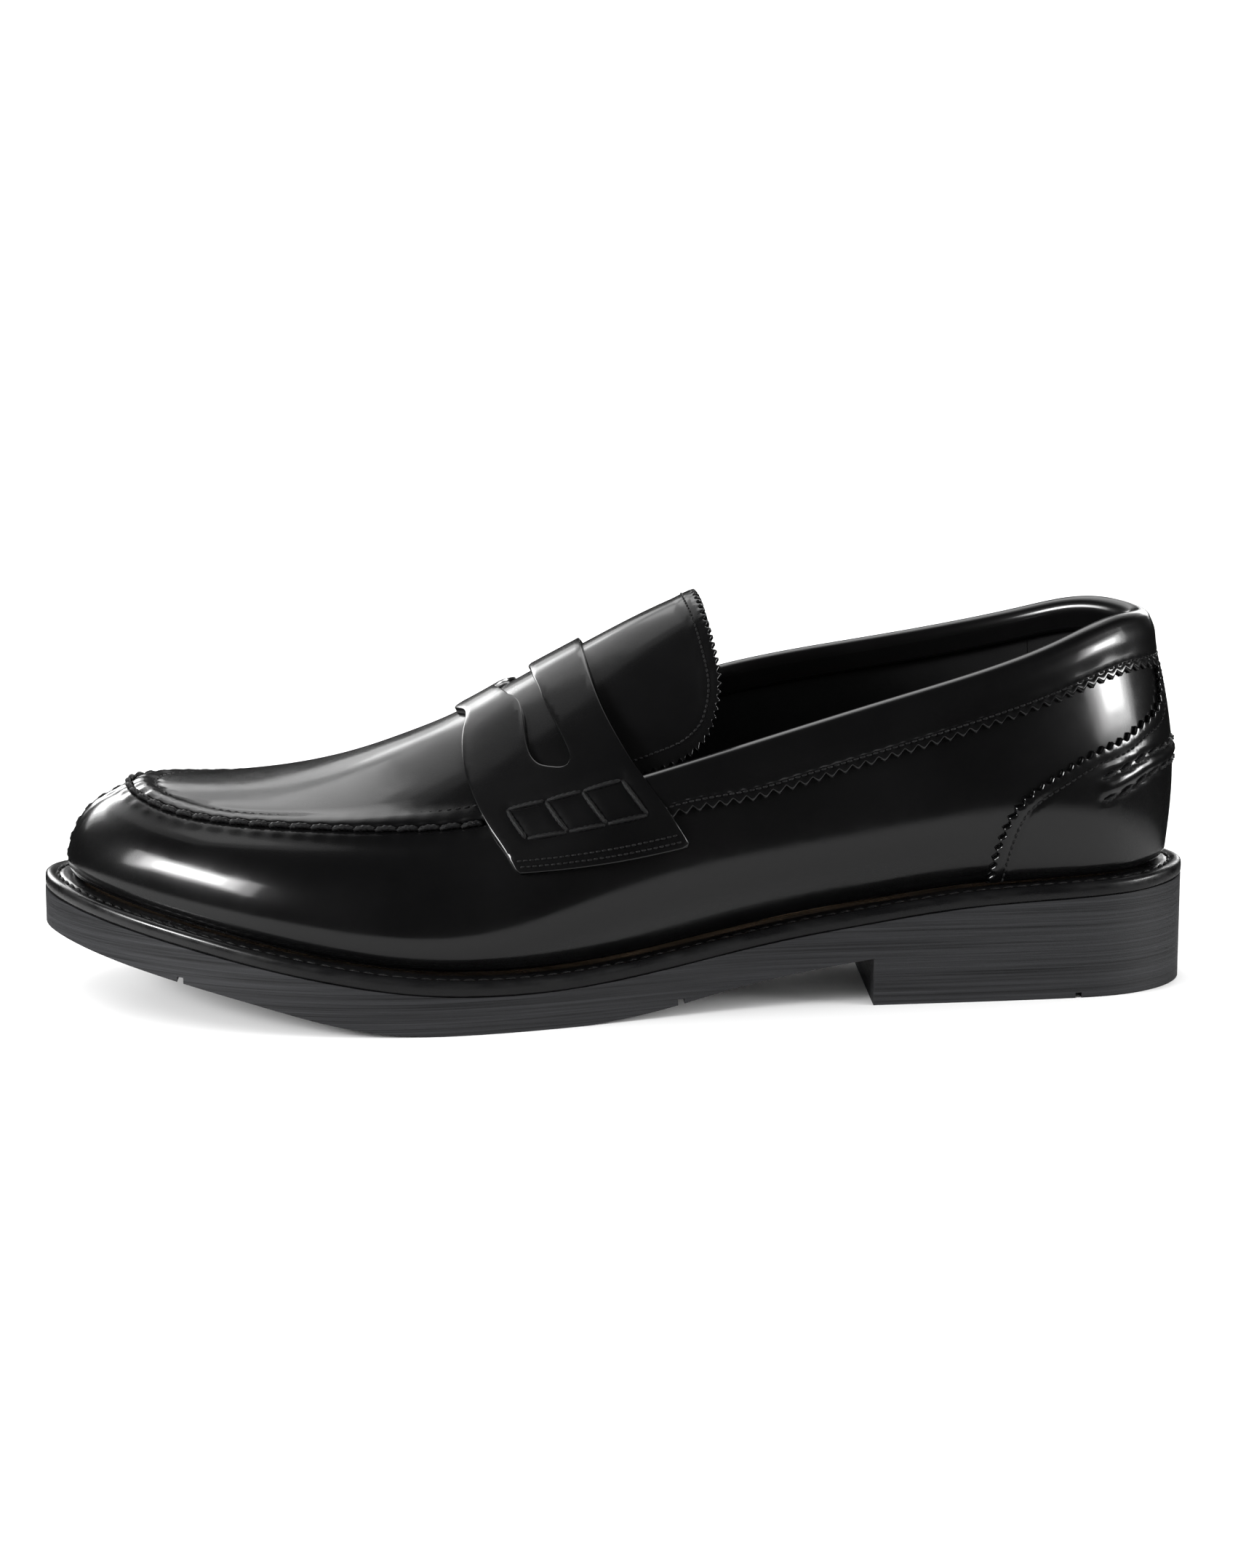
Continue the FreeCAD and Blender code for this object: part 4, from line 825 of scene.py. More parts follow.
def along_loop(loop, pitch):
    """A closed loop's points at an even pitch."""
    closed = np.vstack([loop, loop[:1]])
    gaps = distances(closed)
    even = np.linspace(0, gaps[-1], max(int(gaps[-1] / pitch), 8), endpoint=False)
    return sampled(closed, gaps, even)


def within(points, loops):
    """Whether points lie inside the first loop and outside the others, which are its holes."""
    good = inside(points, loops[0])
    for hole in loops[1:]:
        good &= ~inside(points, hole)
    return good


def moved_sideways(line, distance):
    """An open plane line moved to its left."""
    along = row_normal(np.gradient(line, axis=0))
    return line + distance * np.stack([-along[:, 1], along[:, 0]], 1)


def edge_rings(loops, fillet):
    """Rings of points inside the loops' edges that carry the round edge, each with its least depth."""
    rings = []
    for loop in loops:
        along = row_normal(np.roll(loop, -1, axis=0) - np.roll(loop, 1, axis=0))
        turn = 1.0 if clockwise(loop) == (loop is loops[0]) else -1.0
        inward = np.stack([along[:, 1], -along[:, 0]], 1) * turn
        rings += [(loop + inward * fillet * share, 0.8 * fillet * share) for share in RING_SHARES]
    return rings


def filling(loops, pitch):
    """Points of a triangular grid over the first loop."""
    low, high = loops[0].min(0), loops[0].max(0)
    ys = np.arange(low[1], high[1], pitch * ROW_STEP)
    x, y = np.meshgrid(np.arange(low[0], high[0], pitch), ys, indexing="ij")
    x = x + 0.5 * pitch * (np.arange(len(ys)) % 2)[None, :]
    return np.stack([x.ravel(), y.ravel()], 1)


def triangulated(loops, pitch, fillet):
    """Plane points and triangles that fill the first loop around its holes."""
    edges, start = [], 0
    for loop in loops:
        edges += [(start + k, start + (k + 1) % len(loop)) for k in range(len(loop))]
        start += len(loop)
    flat = [np.concatenate(loops)]
    for points, least in edge_rings(loops, fillet) + [(filling(loops, pitch), fillet + 0.45 * pitch)]:
        flat.append(points[within(points, loops) & (rim_distance(points, loops) > least)])
    found = geometry.delaunay_2d_cdt([Vector(p) for p in np.concatenate(flat)], edges, [], 1, 1e-4)
    flat = np.array([tuple(p) for p in found[0]])
    triangles = np.array([tuple(f) for f in found[2]])
    return flat, triangles[within(flat[triangles].mean(1), loops)]


def cut_sheet(loops, place, layer, pitch, fillet, relief):
    """Points and faces of a sheet cut to a plane outline (loops[0]) with holes (the other loops)."""
    flat, triangles = triangulated(loops, pitch, fillet)
    a, b = flat.T
    raised = relief(a, b)
    outer = place(a, b, layer[1] - edge_fall(rim_distance(flat, loops), fillet) + raised)
    inner = place(a, b, layer[0] + np.minimum(raised, 0.0))
    count = len(flat)
    faces = triangles.tolist() + (triangles[:, ::-1] + count).tolist()
    directed = np.concatenate([triangles[:, [0, 1]], triangles[:, [1, 2]], triangles[:, [2, 0]]]).tolist()
    known = set(map(tuple, directed))
    faces += [(b, a, a + count, b + count) for a, b in directed if (b, a) not in known]
    return np.concatenate([outer, inner]), faces


def pinked(line, place, pitch, depth):
    """An open plane line with a zigzag edge, the teeth even on the surface that place() gives."""
    gaps = distances(place(line[:, 0], line[:, 1], np.zeros(len(line))))
    teeth = max(int(round(gaps[-1] / pitch)), 1)
    even = np.linspace(0, gaps[-1], teeth * POINTS_PER_TOOTH + 1)
    phase = np.abs(((even / gaps[-1] * teeth) % 1.0) - 0.5) * 2.0
    return moved_sideways(sampled(line, gaps, even), ((0.5 - phase ** TOOTH_SHAPE) * depth)[:, None])


def smooth_line(points, count):
    """A smooth open line through a few plane points."""
    gaps = distances(points)
    return Spline(gaps, points)(np.linspace(0, gaps[-1], count))


# ---- The upper ----
# The layers of leather: how deep their inner and outer faces lie.
PANEL, OVERLAY, SADDLE_LAYER = (-1.4, 0.0), (0.1, 1.25), (0.1, 1.75)
# The seam's gathers fade out over this stretch of y under the saddle.
GATHERS_END, GATHERS_FADE = -138.0, 8.0
FOOT_TUCK, FOOT_TUCK_HEIGHT = 1.6, 1.5
# The wall's height when laid flat, and the two walls' distance from the seams at their ends.
PANEL_HEIGHT, PANEL_GAP = 62.0, 0.15


def seam_weight(t):
    """1 along the apron seam in front of the saddle, 0 behind it."""
    y = top_curve(t)[..., 1]
    return np.clip((GATHERS_END * LONG - y) / GATHERS_FADE, 0.0, 1.0)


def pucker(distance_along, pitch):
    """The gathers between stitches: 1 between holes, 0 at a hole."""
    return np.abs(np.sin(math.pi * distance_along / pitch)) ** 1.6


SEAM_T = np.linspace(0.0, LOOP, 4000)
SEAM_S = distances(top_curve(SEAM_T))


def seam_s(t):
    """The distance along the apron seam at t, for even gathers."""
    return np.interp(np.asarray(t) % LOOP, SEAM_T, SEAM_S)


def foot_tuck(above):
    """How the leather turns in where it meets the welt."""
    return -FOOT_TUCK * hump(above, FOOT_TUCK_HEIGHT)


def panel_relief(t, v):
    """The side wall's relief: tucked foot, gathered seam edge, raised toe seam."""
    above = v * rib_length(t)
    below = (1.0 - v) * rib_length(t)
    gathers = pucker(seam_s(t), STITCHES["moccasin"]["pitch"])
    lip = 0.26 * hump(below - 1.9, 1.5) * (0.2 + 0.8 * gathers)
    valley = -0.10 * hump(below - 5.0, 2.2)
    from_toe = np.abs(t - TOE)
    toe_gathers = pucker(above, STITCHES["toe"]["pitch"])
    toe_lip = 0.42 * hump(from_toe - 1.5, 1.3) * (0.72 + 0.28 * toe_gathers)
    toe_valley = -0.12 * hump(from_toe - 4.6, 2.1)
    fade = np.clip(v * 4.0, 0, 1) * np.clip((1.0 - v) * 8.0, 0.2, 1)
    return seam_weight(t) * (lip + valley) + (toe_lip + toe_valley) * fade + foot_tuck(above)


def side_panel(name, node, start, stop):
    """One wall, between two stations round the shoe."""
    def round_shoe(p):
        return start + (stop - start) * p

    shape = sheet(lambda p, q, depth: wall_at(round_shoe(p), q, depth), (abs(stop - start), PANEL_HEIGHT),
                  PANEL, 1.15, 0.5, lambda p, q: panel_relief(round_shoe(p), q))
    mesh_piece(name, node, shape, LEATHER)


def make_side_panels():
    """The outer and the inner wall, each from the back seam to the toe seam."""
    side_panel("outer_wall", "lateral_side_panel", PANEL_GAP, TOE - PANEL_GAP)
    side_panel("inner_wall", "medial_side_panel", LOOP - PANEL_GAP, TOE + PANEL_GAP)


# The apron's rear end, its distance from the seam, the height of its roll and its thickness.
APRON_REAR, APRON_GAP, APRON_ROLL, APRON_THICK = -127.0 * LONG, 0.9, 1.15, 1.3
# How far inside the seam the fine row runs, against y.
APRON_ROW = ((-243.0, 6.0), (-236.0, 5.4), (-214.0, 4.7), (-183.0, 4.7), (-165.0, 3.9), (-150.0, 3.6))
# The apron's rows run straight across up to the turn, then fan round the tip about the fold.
APRON_TURN, APRON_FOLD = 42.0, 20.0
# The seams' threads stop under the saddle.
SEAM_STOP, ROW_STOP = -150.0 * LONG, -149.0 * LONG


def row_inset(t):
    """How far inside the apron seam the fine row runs at t."""
    table = np.array(APRON_ROW) * (LONG, 1.0)
    return np.interp(top_curve(t)[..., 1], table[:, 0], table[:, 1])


def apron_rows():
    """The apron's rows: the ridge's y and the seam's t on the inner and the outer side."""
    tip = float(top_curve(TOE)[1])
    turn, fold = tip + APRON_TURN, tip + APRON_FOLD
    rows = [(y, float(t_at(y, -1)), float(t_at(y, 1))) for y in np.linspace(APRON_REAR, turn, 62)]
    start, end = np.array(rows[-1]), np.array((fold, TOE, TOE))
    return rows + [tuple(start + (end - start) * share) for share in np.linspace(0.0, 1.0, 50)[1:]]


def apron_grid():
    """Plan points of the apron, row by row from the inner to the outer seam, each with its t."""
    steps = edge_steps(46.0, 1.3, 0.5)
    half = steps[steps <= 0.5][:, None] * 2
    grid = []
    for y, inner, outer in apron_rows():
        row = []
        for t in (inner, outer):
            seam = seam_plan(np.array(t), APRON_GAP)
            line = seam + (np.array((RIDGE_X, y)) - seam) * half
            row.append(np.column_stack([line, np.full(len(line), t)]))
        grid.append(np.concatenate([row[0], row[1][::-1][1:]]))
    return np.moveaxis(np.array(grid), -1, 0)


def from_seam(x, y):
    """How far plan points lie inside the apron's edge."""
    t = np.linspace(float(t_at(APRON_REAR + 9.0, 1)), float(t_at(APRON_REAR + 9.0, -1)), 260)
    return line_distance(np.stack([x.ravel(), y.ravel()], -1), seam_plan(t, APRON_GAP)).reshape(x.shape)


def apron_relief(away, t):
    """The raised, gathered roll along the apron's edge and the groove of the fine row."""
    row = row_inset(t)
    gathers = pucker(seam_s(t), STITCHES["moccasin"]["pitch"])
    roll = APRON_ROLL * np.sin(math.pi * np.clip((away + 0.9) / (row + 0.8), 0, 1)) ** 0.85
    roll *= 1.0 - 0.38 * (1 - gathers) * hump(away, 2.6)
    groove = -0.34 * hump(away - row, 0.6)
    fine = 0.09 * pucker(seam_s(t), STITCHES["apron"]["pitch"]) * hump(away - row - 0.8, 0.7)
    return seam_weight(t) * (roll + groove + fine)


def make_apron():
    """The raised apron over the forefoot."""
    x, y, t = apron_grid()
    away = from_seam(x, y)
    outer = crown_at(x, y, apron_relief(away, t) - edge_fall(away, 0.5))
    shape = closed_sheet(outer, crown_at(x, y, -APRON_THICK), folded=True)
    mesh_piece("apron_leather", "apron", shape, LEATHER, merge=0.01)


def seam_between(stop):
    """Stations along the apron seam, from the saddle's outer side round the toe to its inner side."""
    return np.linspace(float(t_at(stop, 1)), float(t_at(stop, -1)), 500)


def make_apron_stitches():
    """The thick moccasin seam, the fine row inside it and the seam down the toe."""
    t = seam_between(SEAM_STOP)
    up = row_normal(wall_normal(t, np.full(len(t), 0.995)) + np.array((0.0, 0.0, 1.0)))
    seam = stitch_row(wall_at(t, 1.0, 0.2) + up * 0.52, up, **STITCHES["moccasin"])
    thread_piece("moccasin_seam_thread", "apron_seam_stitching", [seam])
    t = seam_between(ROW_STOP)
    x, y = seam_plan(t, row_inset(t) + APRON_GAP).T
    row = crown_at(x, y, -0.24)
    fine = stitch_row(row, row_normal(crown_at(x, y, 1.0) - row), **STITCHES["apron"])
    thread_piece("apron_fine_thread", "apron_inner_stitching", [fine])
    v = np.linspace(0.10, 0.965, 120)
    t = np.full(len(v), TOE)
    toe = stitch_row(wall_at(t, v, 0.16), wall_normal(t, v), **STITCHES["toe"])
    thread_piece("toe_seam_thread", "toe_seam_stitching", [toe])


# ---- The saddle ----
# A share of the way from the ridge to the seam, as millimetres; and how far down the saddle goes.
SHARE, SADDLE_REACH = 46.0, 1.338
# Half of the slot's outline, as (share, y).
SLOT_HALF = ((0.0, -146.0), (0.14, -144.4), (0.27, -142.5), (0.35, -140.5), (0.46, -139.3),
             (0.58, -138.9), (0.69, -138.3), (0.76, -137.3), (0.81, -135.4), (0.84, -132.2),
             (0.855, -129.2), (0.845, -127.7), (0.81, -127.8), (0.75, -128.9), (0.67, -130.5),
             (0.56, -132.4), (0.45, -134.0), (0.36, -134.8), (0.26, -135.8), (0.12, -136.6),
             (0.0, -137.2))


# Corners flatter than this, as the cosine between their sides, stay as they are.
STRAIGHT = -0.97


def rounded(corners, radius, steps=5):
    """A closed outline with its sharp corners rounded."""
    found = []
    for before, here, after in zip(np.roll(corners, 1, axis=0), corners, np.roll(corners, -1, axis=0)):
        sides = [before - here, after - here]
        lengths = [np.linalg.norm(side) for side in sides]
        if np.dot(*sides) / (lengths[0] * lengths[1]) < STRAIGHT:
            found.append(here)
            continue
        reach = min(radius, 0.45 * lengths[0], 0.45 * lengths[1])
        p, q = [here + side / length * reach for side, length in zip(sides, lengths)]
        for s in np.linspace(0, 1, steps):
            found.append((1 - s) ** 2 * p + 2 * s * (1 - s) * here + s * s * q)
    return np.array(found)


def saddle_loops():
    """The saddle's outline and its slot, in the plane of (share of the way across, y)."""
    share = np.linspace(-SADDLE_REACH, SADDLE_REACH, 90)
    front = np.stack([share * SHARE, saddle_front(np.abs(share))], 1)
    rear = np.stack([share[::-1] * SHARE, saddle_rear(np.abs(share[::-1]))], 1)
    outer = along_loop(rounded(np.concatenate([front, rear]), 2.0), 1.5)
    half = np.array(SLOT_HALF) * (SHARE, LONG)
    side = np.concatenate([half[:2], smooth_line(half[2:-1], 70), half[-1:]])
    slot = np.concatenate([side, side[-2:0:-1] * (-1.0, 1.0)])
    return [outer, along_loop(slot, 0.9)]


# The ladder's rows by share and its rungs by the way along the saddle; the fine rows at the ends.
LADDER_ROWS, LADDER_RUNGS = (0.978, 1.147), (0.16, 0.402, 0.63, 0.876)
END_ROWS, END_ROW_ALONG = (1.272, 1.306), (0.03, 0.965)
# The ladder's cord: its radius, the points along one stitch, and how far it dents the leather.
CORD, CORD_POINTS, DENT = 0.6, 17, 0.33


def on_saddle(share, along, depth):
    """Points over the saddle: along runs from its front edge to its rear edge."""
    front, rear = saddle_front(np.abs(share)), saddle_rear(np.abs(share))
    return drape_at(share, front + (rear - front) * along, depth)


def saddle_relief(a, b):
    """Dents under the ladder's cords, and pressed lines under the fine rows at the ends."""
    size = np.abs(a / SHARE)
    front = saddle_front(size)
    width = saddle_rear(size) - front
    along = (b - front) / width
    low, high = LADDER_RUNGS[0] - 0.02, LADDER_RUNGS[-1] + 0.02
    beside = np.clip((along - low) * (high - along) * 90, 0, 1)
    low, high = LADDER_ROWS[0] - 0.01, LADDER_ROWS[1] + 0.01
    between = np.clip((size - low) * (high - size) * 400, 0, 1)
    dents = [0.7 * hump((size - row) * SHARE, 0.45) for row in END_ROWS]
    dents += [hump((size - row) * SHARE, 0.85) * beside for row in LADDER_ROWS]
    dents += [hump((along - rung) * width, 0.85) * between for rung in LADDER_RUNGS]
    for row in LADDER_ROWS:
        for rung in LADDER_RUNGS:
            hole = np.hypot((size - row) * SHARE * 1.3, (along - rung) * width)
            dents.append(2.2 * hump(hole, 0.75))
    return -DENT * np.max(dents, axis=0)


def make_saddle():
    """The strap across the instep, with its slot."""
    shape = cut_sheet(saddle_loops(), lambda a, b, depth: drape_at(a / SHARE, b, depth), SADDLE_LAYER,
                      1.25, 0.34, saddle_relief)
    mesh_piece("saddle_strap", "saddle", shape, LEATHER)


def cord(share, along):
    """One thick stitch on the saddle between two holes, sunk at both ends."""
    path = on_saddle(share, along, SADDLE_LAYER[1] - 0.25)
    ups = row_normal(on_saddle(share, along, SADDLE_LAYER[1] + 0.75) - path)
    arc = np.sin(math.pi * np.linspace(0, 1, CORD_POINTS)) ** 0.4
    path = path + ups * (CORD * (1.35 * arc - 1.0))[:, None]
    return tube(path, ups, CORD * (0.85 + 0.15 * arc), sides=10, plies=3, twist=4.4)


def make_saddle_stitches():
    """The boxes of thick cord at both sides of the saddle, and the fine rows near its ends."""
    lines = []
    for row in LADDER_ROWS:
        for low, high in zip(LADDER_RUNGS, LADDER_RUNGS[1:]):
            lines.append(floats(row, np.linspace(low + 0.006, high - 0.006, CORD_POINTS)))
    for rung in LADDER_RUNGS:
        lines.append(floats(np.linspace(*LADDER_ROWS, CORD_POINTS), rung))
    thick, fine = [], []
    for side in (1, -1):
        thick += [cord(side * share, along) for share, along in lines]
        for row in END_ROWS:
            share, along = floats(side * row, np.linspace(*END_ROW_ALONG, 300))
            path = on_saddle(share, along, SADDLE_LAYER[1] - 0.16)
            above = on_saddle(share, along, SADDLE_LAYER[1] + 1.0)
            fine.append(stitch_row(path, row_normal(above - path), **STITCHES["saddle_end"]))
    thread_piece("saddle_ladder_cord", "saddle_ladder_stitching", thick)
    thread_piece("saddle_end_thread", "saddle_edge_stitching", fine)


# ---- The collar ----
# The middle of the wall's layers, which the band rolls round.
STACK_MIDDLE = -1.67
# The band is this wide behind, and narrows over a stretch of t towards the saddle.
BAND_WIDE, BAND_NARROWS, BAND_TAPER = 11.4, 2.1, (125.0, 150.0)
# It reaches this far down inside, and stops this far behind the saddle, which it meets near this y.
BAND_INNER_DROP, BAND_STOP, BAND_MEETS = 5.0, 1.6, -104.0
# How far below the top line its lower edge and its stitch row meet the saddle.
BAND_END_DEPTH, ROW_END_DEPTH = 10.0, 8.0
BAND_THICK, BAND_UNDERSIDE = 1.2, 0.1
BAND_TOOTH, BAND_TOOTH_DEPTH, COLLAR_ROW = 3.4, 1.7, 2.1
# The padded roll: its height, how far below the top line it is fullest, and its width.
ROLL_SWELL, ROLL_DROP, ROLL_WIDTH = 0.8, 2.6, 3.8
# The band's rows of points: shares of its width up the outside, over the top edge, down inside.
OUTSIDE_SHARES = np.concatenate([np.linspace(1.0, 0.86, 5), np.linspace(0.82, 0.08, 14)])
OVER_TOP = np.linspace(0.0, math.pi, 13)
DOWN_INSIDE = math.pi + np.linspace(0.9, BAND_INNER_DROP, 5)
BAND_COLUMNS = 900


def band_drop(t):
    """How far below the top line the band's pinked edge runs."""
    share = np.clip((np.abs(t) - BAND_TAPER[0]) / (BAND_TAPER[1] - BAND_TAPER[0]), 0, 1)
    return BAND_WIDE - BAND_NARROWS * share * share * (3 - 2 * share)


def band_stations(below):
    """Stations from the outer end of the band round the heel to its inner end, at a depth below."""
    ends = []
    for side in (1, -1):
        share = 1.0 + below / rib_length(t_at(BAND_MEETS * LONG, side)) / DRAPE_RATE
        ends.append(float(t_at(saddle_rear(share) - BAND_STOP, side)))
    return np.linspace(ends[0], ends[1] - LOOP, BAND_COLUMNS)


def band_section(t, turn, depth):
    """The band's section: turn counts up the outside (below 0), over the edge and down inside."""
    top = wall(t, 1.0)
    out = wall_normal(t, np.ones_like(t))
    up = row_normal(top - wall(t, 0.97))
    outside = wall_at(t, drop(t, np.maximum(-turn, 0.0)), depth)
    radius = (depth - STACK_MIDDLE)[..., None]
    angle = np.clip(turn, 0.0, math.pi)[..., None]
    rim = top + out * STACK_MIDDLE + out * radius * np.cos(angle) + up * radius * np.sin(angle)
    inside_wall = wall_at(t, drop(t, np.maximum(turn - math.pi, 0.0)), 2 * STACK_MIDDLE - depth)
    over = np.where((turn > math.pi)[..., None], inside_wall, rim)
    return np.where((turn < 0)[..., None], outside, over)


def collar_relief(t, turn, drop_at):
    """The soft roll of the band, the pressed line of its stitch row and its round lower edge."""
    below = np.clip(-turn, 0.0, 30.0)
    swell = hump(below - ROLL_DROP, ROLL_WIDTH)
    over = hump(ROLL_DROP, ROLL_WIDTH) * (0.75 + 0.25 * np.cos(np.clip(turn, 0, math.pi)))
    row = drop_at - COLLAR_ROW
    groove = -0.36 * hump(below - row, 0.55)
    wobble = 0.07 * np.sin(t / 2.1) * hump(below - row + 1.5, 1.8)
    return np.where(turn < 0, ROLL_SWELL * swell + groove + wobble, ROLL_SWELL * over)


def collar_thread():
    """The fine row near the band's pinked edge."""
    t = band_stations(ROW_END_DEPTH)
    height = drop(t, band_drop(t) - COLLAR_ROW)
    row = stitch_row(wall_at(t, height, BAND_THICK - 0.24), wall_normal(t, height), **STITCHES["collar"])
    thread_piece("collar_thread", "collar_stitching", [row])


def make_collar():
    """The padded band at the top line with its pinked lower edge, and its stitch row."""
    beyond = np.concatenate([OVER_TOP, DOWN_INSIDE])
    widths = np.concatenate([OUTSIDE_SHARES * BAND_END_DEPTH, np.zeros(len(beyond))])
    t = np.array([band_stations(width) for width in widths])
    drop_at = band_drop(t)
    turn = np.concatenate([-OUTSIDE_SHARES[:, None] * drop_at[:len(OUTSIDE_SHARES)],
                           np.repeat(beyond[:, None], BAND_COLUMNS, axis=1)])
    phase = np.linspace(0, round(distances(wall(t[0], 0.9))[-1] / BAND_TOOTH), BAND_COLUMNS)
    tooth = BAND_TOOTH_DEPTH * (0.5 - (np.abs((phase % 1.0) - 0.5) * 2.0) ** TOOTH_SHAPE)
    near_edge = np.clip((3.0 - turn - drop_at) / 3.0, 0.0, 1.0)
    round_edge = edge_fall(np.clip(drop_at + turn, 0, 9), 0.5)
    relief = collar_relief(t, turn, drop_at) - round_edge
    turn = turn - near_edge * tooth
    shape = closed_sheet(band_section(t, turn, BAND_THICK + relief),
                         band_section(t, turn, np.full_like(turn, BAND_UNDERSIDE)))
    mesh_piece("collar_roll", "collar_band", shape, LEATHER)
    collar_thread()


# ---- The heel ----
# The foxing's edge on the outer side: as (y, z) up the wall, then as (distance round, z).
FOXING_EDGE = ((-20.0, 29.5), (-19.0, 36.6), (-17.3, 44.3), (-14.0, 51.3), (-8.6, 56.2), (-2.3, 59.9),
               (3.3, 63.1), (8.9, 65.4), (15.0, 67.4), (19.4, 70.0))
FOXING_TOP = ((13.0, 73.2), (9.4, 76.6), (7.6, 80.6), (7.0, 84.6))
FOXING_ROW, FOXING_FOOT, FOXING_TOOTH, FOXING_TOOTH_DEPTH = 3.3, 0.4, 3.1, 1.5
# The heights of the two thick stitch rows against the distance round the heel, and their end.
PLEAT_TOP = ((0.0, 64.0), (11.0, 63.4), (24.0, 61.6), (31.0, 59.2), (36.0, 58.0))
PLEAT_LOW = ((0.0, 59.0), (11.0, 58.6), (22.0, 56.8), (29.0, 54.1), (36.0, 52.0))
PLEAT_END = 36.5


def height_share(t, z):
    """The height share of the wall at a height above the ground."""
    t, z = floats(t, z)
    low, high = np.zeros_like(z), np.ones_like(z)
    for _ in range(22):
        middle = (low + high) / 2
        below = wall(t, middle)[..., 2] < z
        low, high = np.where(below, middle, low), np.where(below, high, middle)
    return low


def around_at(y, v):
    """Where round the outer side of the heel the wall passes y at a height share."""
    t = np.linspace(0.0, 130.0, 900)
    return float(np.interp(-y, -wall(t, v)[:, 1], t))


def heel_place(a, b, depth):
    """Points on the wall round the heel, by the distance round it and the height laid flat."""
    return wall_at(a, b / PANEL_HEIGHT, depth)


def foxing_point(y, z):
    """A point of the outer side's foxing in the plane of (distance round the heel, height)."""
    v = 0.5
    for _ in range(14):
        t = around_at(y, v)
        v = float(height_share(t, z))
    return t, v * PANEL_HEIGHT


def pleat_line(points, t):
    """The height of one thick stitch row round the heel."""
    table = np.array(points)
    return Spline(table[:, 0], table[:, 1])(np.clip(np.abs(t), 0, 36))


def foxing_relief(a, b):
    """The heel piece's relief: the pleat with its gathers, the pressed stitch line and the foot."""
    z = heel_place(a, b, 0.0)[..., 2]
    top, low = pleat_line(PLEAT_TOP, a), pleat_line(PLEAT_LOW, a)
    ridge = 0.85 * np.exp(-np.abs((z - (top + low) / 2) / ((top - low) / 2) / 0.74) ** 2.6)
    grooves = hump(z - top, 0.75) + hump(z - low, 0.75)
    gathers = pucker(a, STITCHES["pleat"]["pitch"]) * (hump(z - top, 2.2) + hump(z - low, 2.2))
    fade = np.clip((PLEAT_END + 1.0 - np.abs(a)) / 3.0, 0, 1)
    row = -0.28 * hump(line_distance(np.stack([a, b], -1), FOXING_ROW_LINE), 0.55)
    tuck = foot_tuck(b / PANEL_HEIGHT * rib_length(a))
    return fade * (ridge - 0.55 * grooves + 0.16 * gathers) + tuck + row


def foxing_line(inset, count):
    """The foxing's edge on the outer side, moved inside by inset."""
    points = [foxing_point(y * LONG, z) for y, z in FOXING_EDGE]
    points += [(t, float(height_share(t, z)) * PANEL_HEIGHT) for t, z in FOXING_TOP]
    return moved_sideways(smooth_line(points, count), inset)


FOXING_ROW_LINE = foxing_line(FOXING_ROW, 120)


def foxing_loop():
    """The foxing's outline: its toothed edge on both sides and a straight foot."""
    toothed = pinked(foxing_line(0.0, 260), heel_place, FOXING_TOOTH, FOXING_TOOTH_DEPTH)
    toothed = toothed[toothed[:, 1] > FOXING_FOOT + 0.3]
    half = np.concatenate([[(toothed[0, 0], FOXING_FOOT)], toothed])
    mirrored = half[::-1] * (-1.0, 1.0)
    start, stop = mirrored[-1], half[0]
    count = int(abs(stop[0] - start[0]) / 1.5)
    foot = start + (stop - start) * np.linspace(0, 1, count)[1:-1, None]
    return np.concatenate([half, mirrored, foot])


def make_foxing():
    """The piece round the heel with its pinked edge, its stitch row and its gathered pleat."""
    shape = cut_sheet([foxing_loop()], heel_place, OVERLAY, 1.15, 0.45, foxing_relief)
    mesh_piece("heel_counter_piece", "heel_foxing", shape, LEATHER)
    line = foxing_line(FOXING_ROW, 500)
    line = line[(line[:, 1] > 1.5) & (line[:, 0] > 2.2)]
    rows = []
    for side in (1.0, -1.0):
        path = heel_place(line[:, 0] * side, line[:, 1], OVERLAY[1] - 0.24)
        ups = wall_normal(line[:, 0] * side, line[:, 1] / PANEL_HEIGHT)
        rows.append(stitch_row(path, ups, **STITCHES["foxing"]))
    thread_piece("foxing_thread", "foxing_stitching", rows)
    ropes = []
    t = np.linspace(-PLEAT_END, PLEAT_END, 400)
    for points in (PLEAT_TOP, PLEAT_LOW):
        v = height_share(t, pleat_line(points, t))
        ropes.append(stitch_row(wall_at(t, v, OVERLAY[1] - 0.18), wall_normal(t, v), **STITCHES["pleat"]))
    thread_piece("heel_pleat_cord", "heel_pleat_stitching", ropes)


# ---- The tongue ----
TONGUE_REACH, TONGUE_TUCK, TONGUE_ROW = 0.97, 6.2, 2.8
TONGUE_TOOTH, TONGUE_TOOTH_DEPTH = 2.4, 1.1
# The tongue's side edge, running forward under the saddle, as (share, y).
TONGUE_SIDE = ((0.978, -104.0), (0.982, -109.5), (0.984, -115.0))
# Its front edge runs this far ahead of the saddle's rear edge, but no further than this y.
TONGUE_HELD, TONGUE_FRONT = 6.0, -126.3
TONGUE_LINING_LAYER, TONGUE_LINING_INSET = (-2.42, -1.52), 1.6


def tongue_place(a, b, depth):
    """Points over the tongue, by the way across in millimetres and y."""
    return arch_at(a / SHARE, b, depth, TONGUE_TUCK)


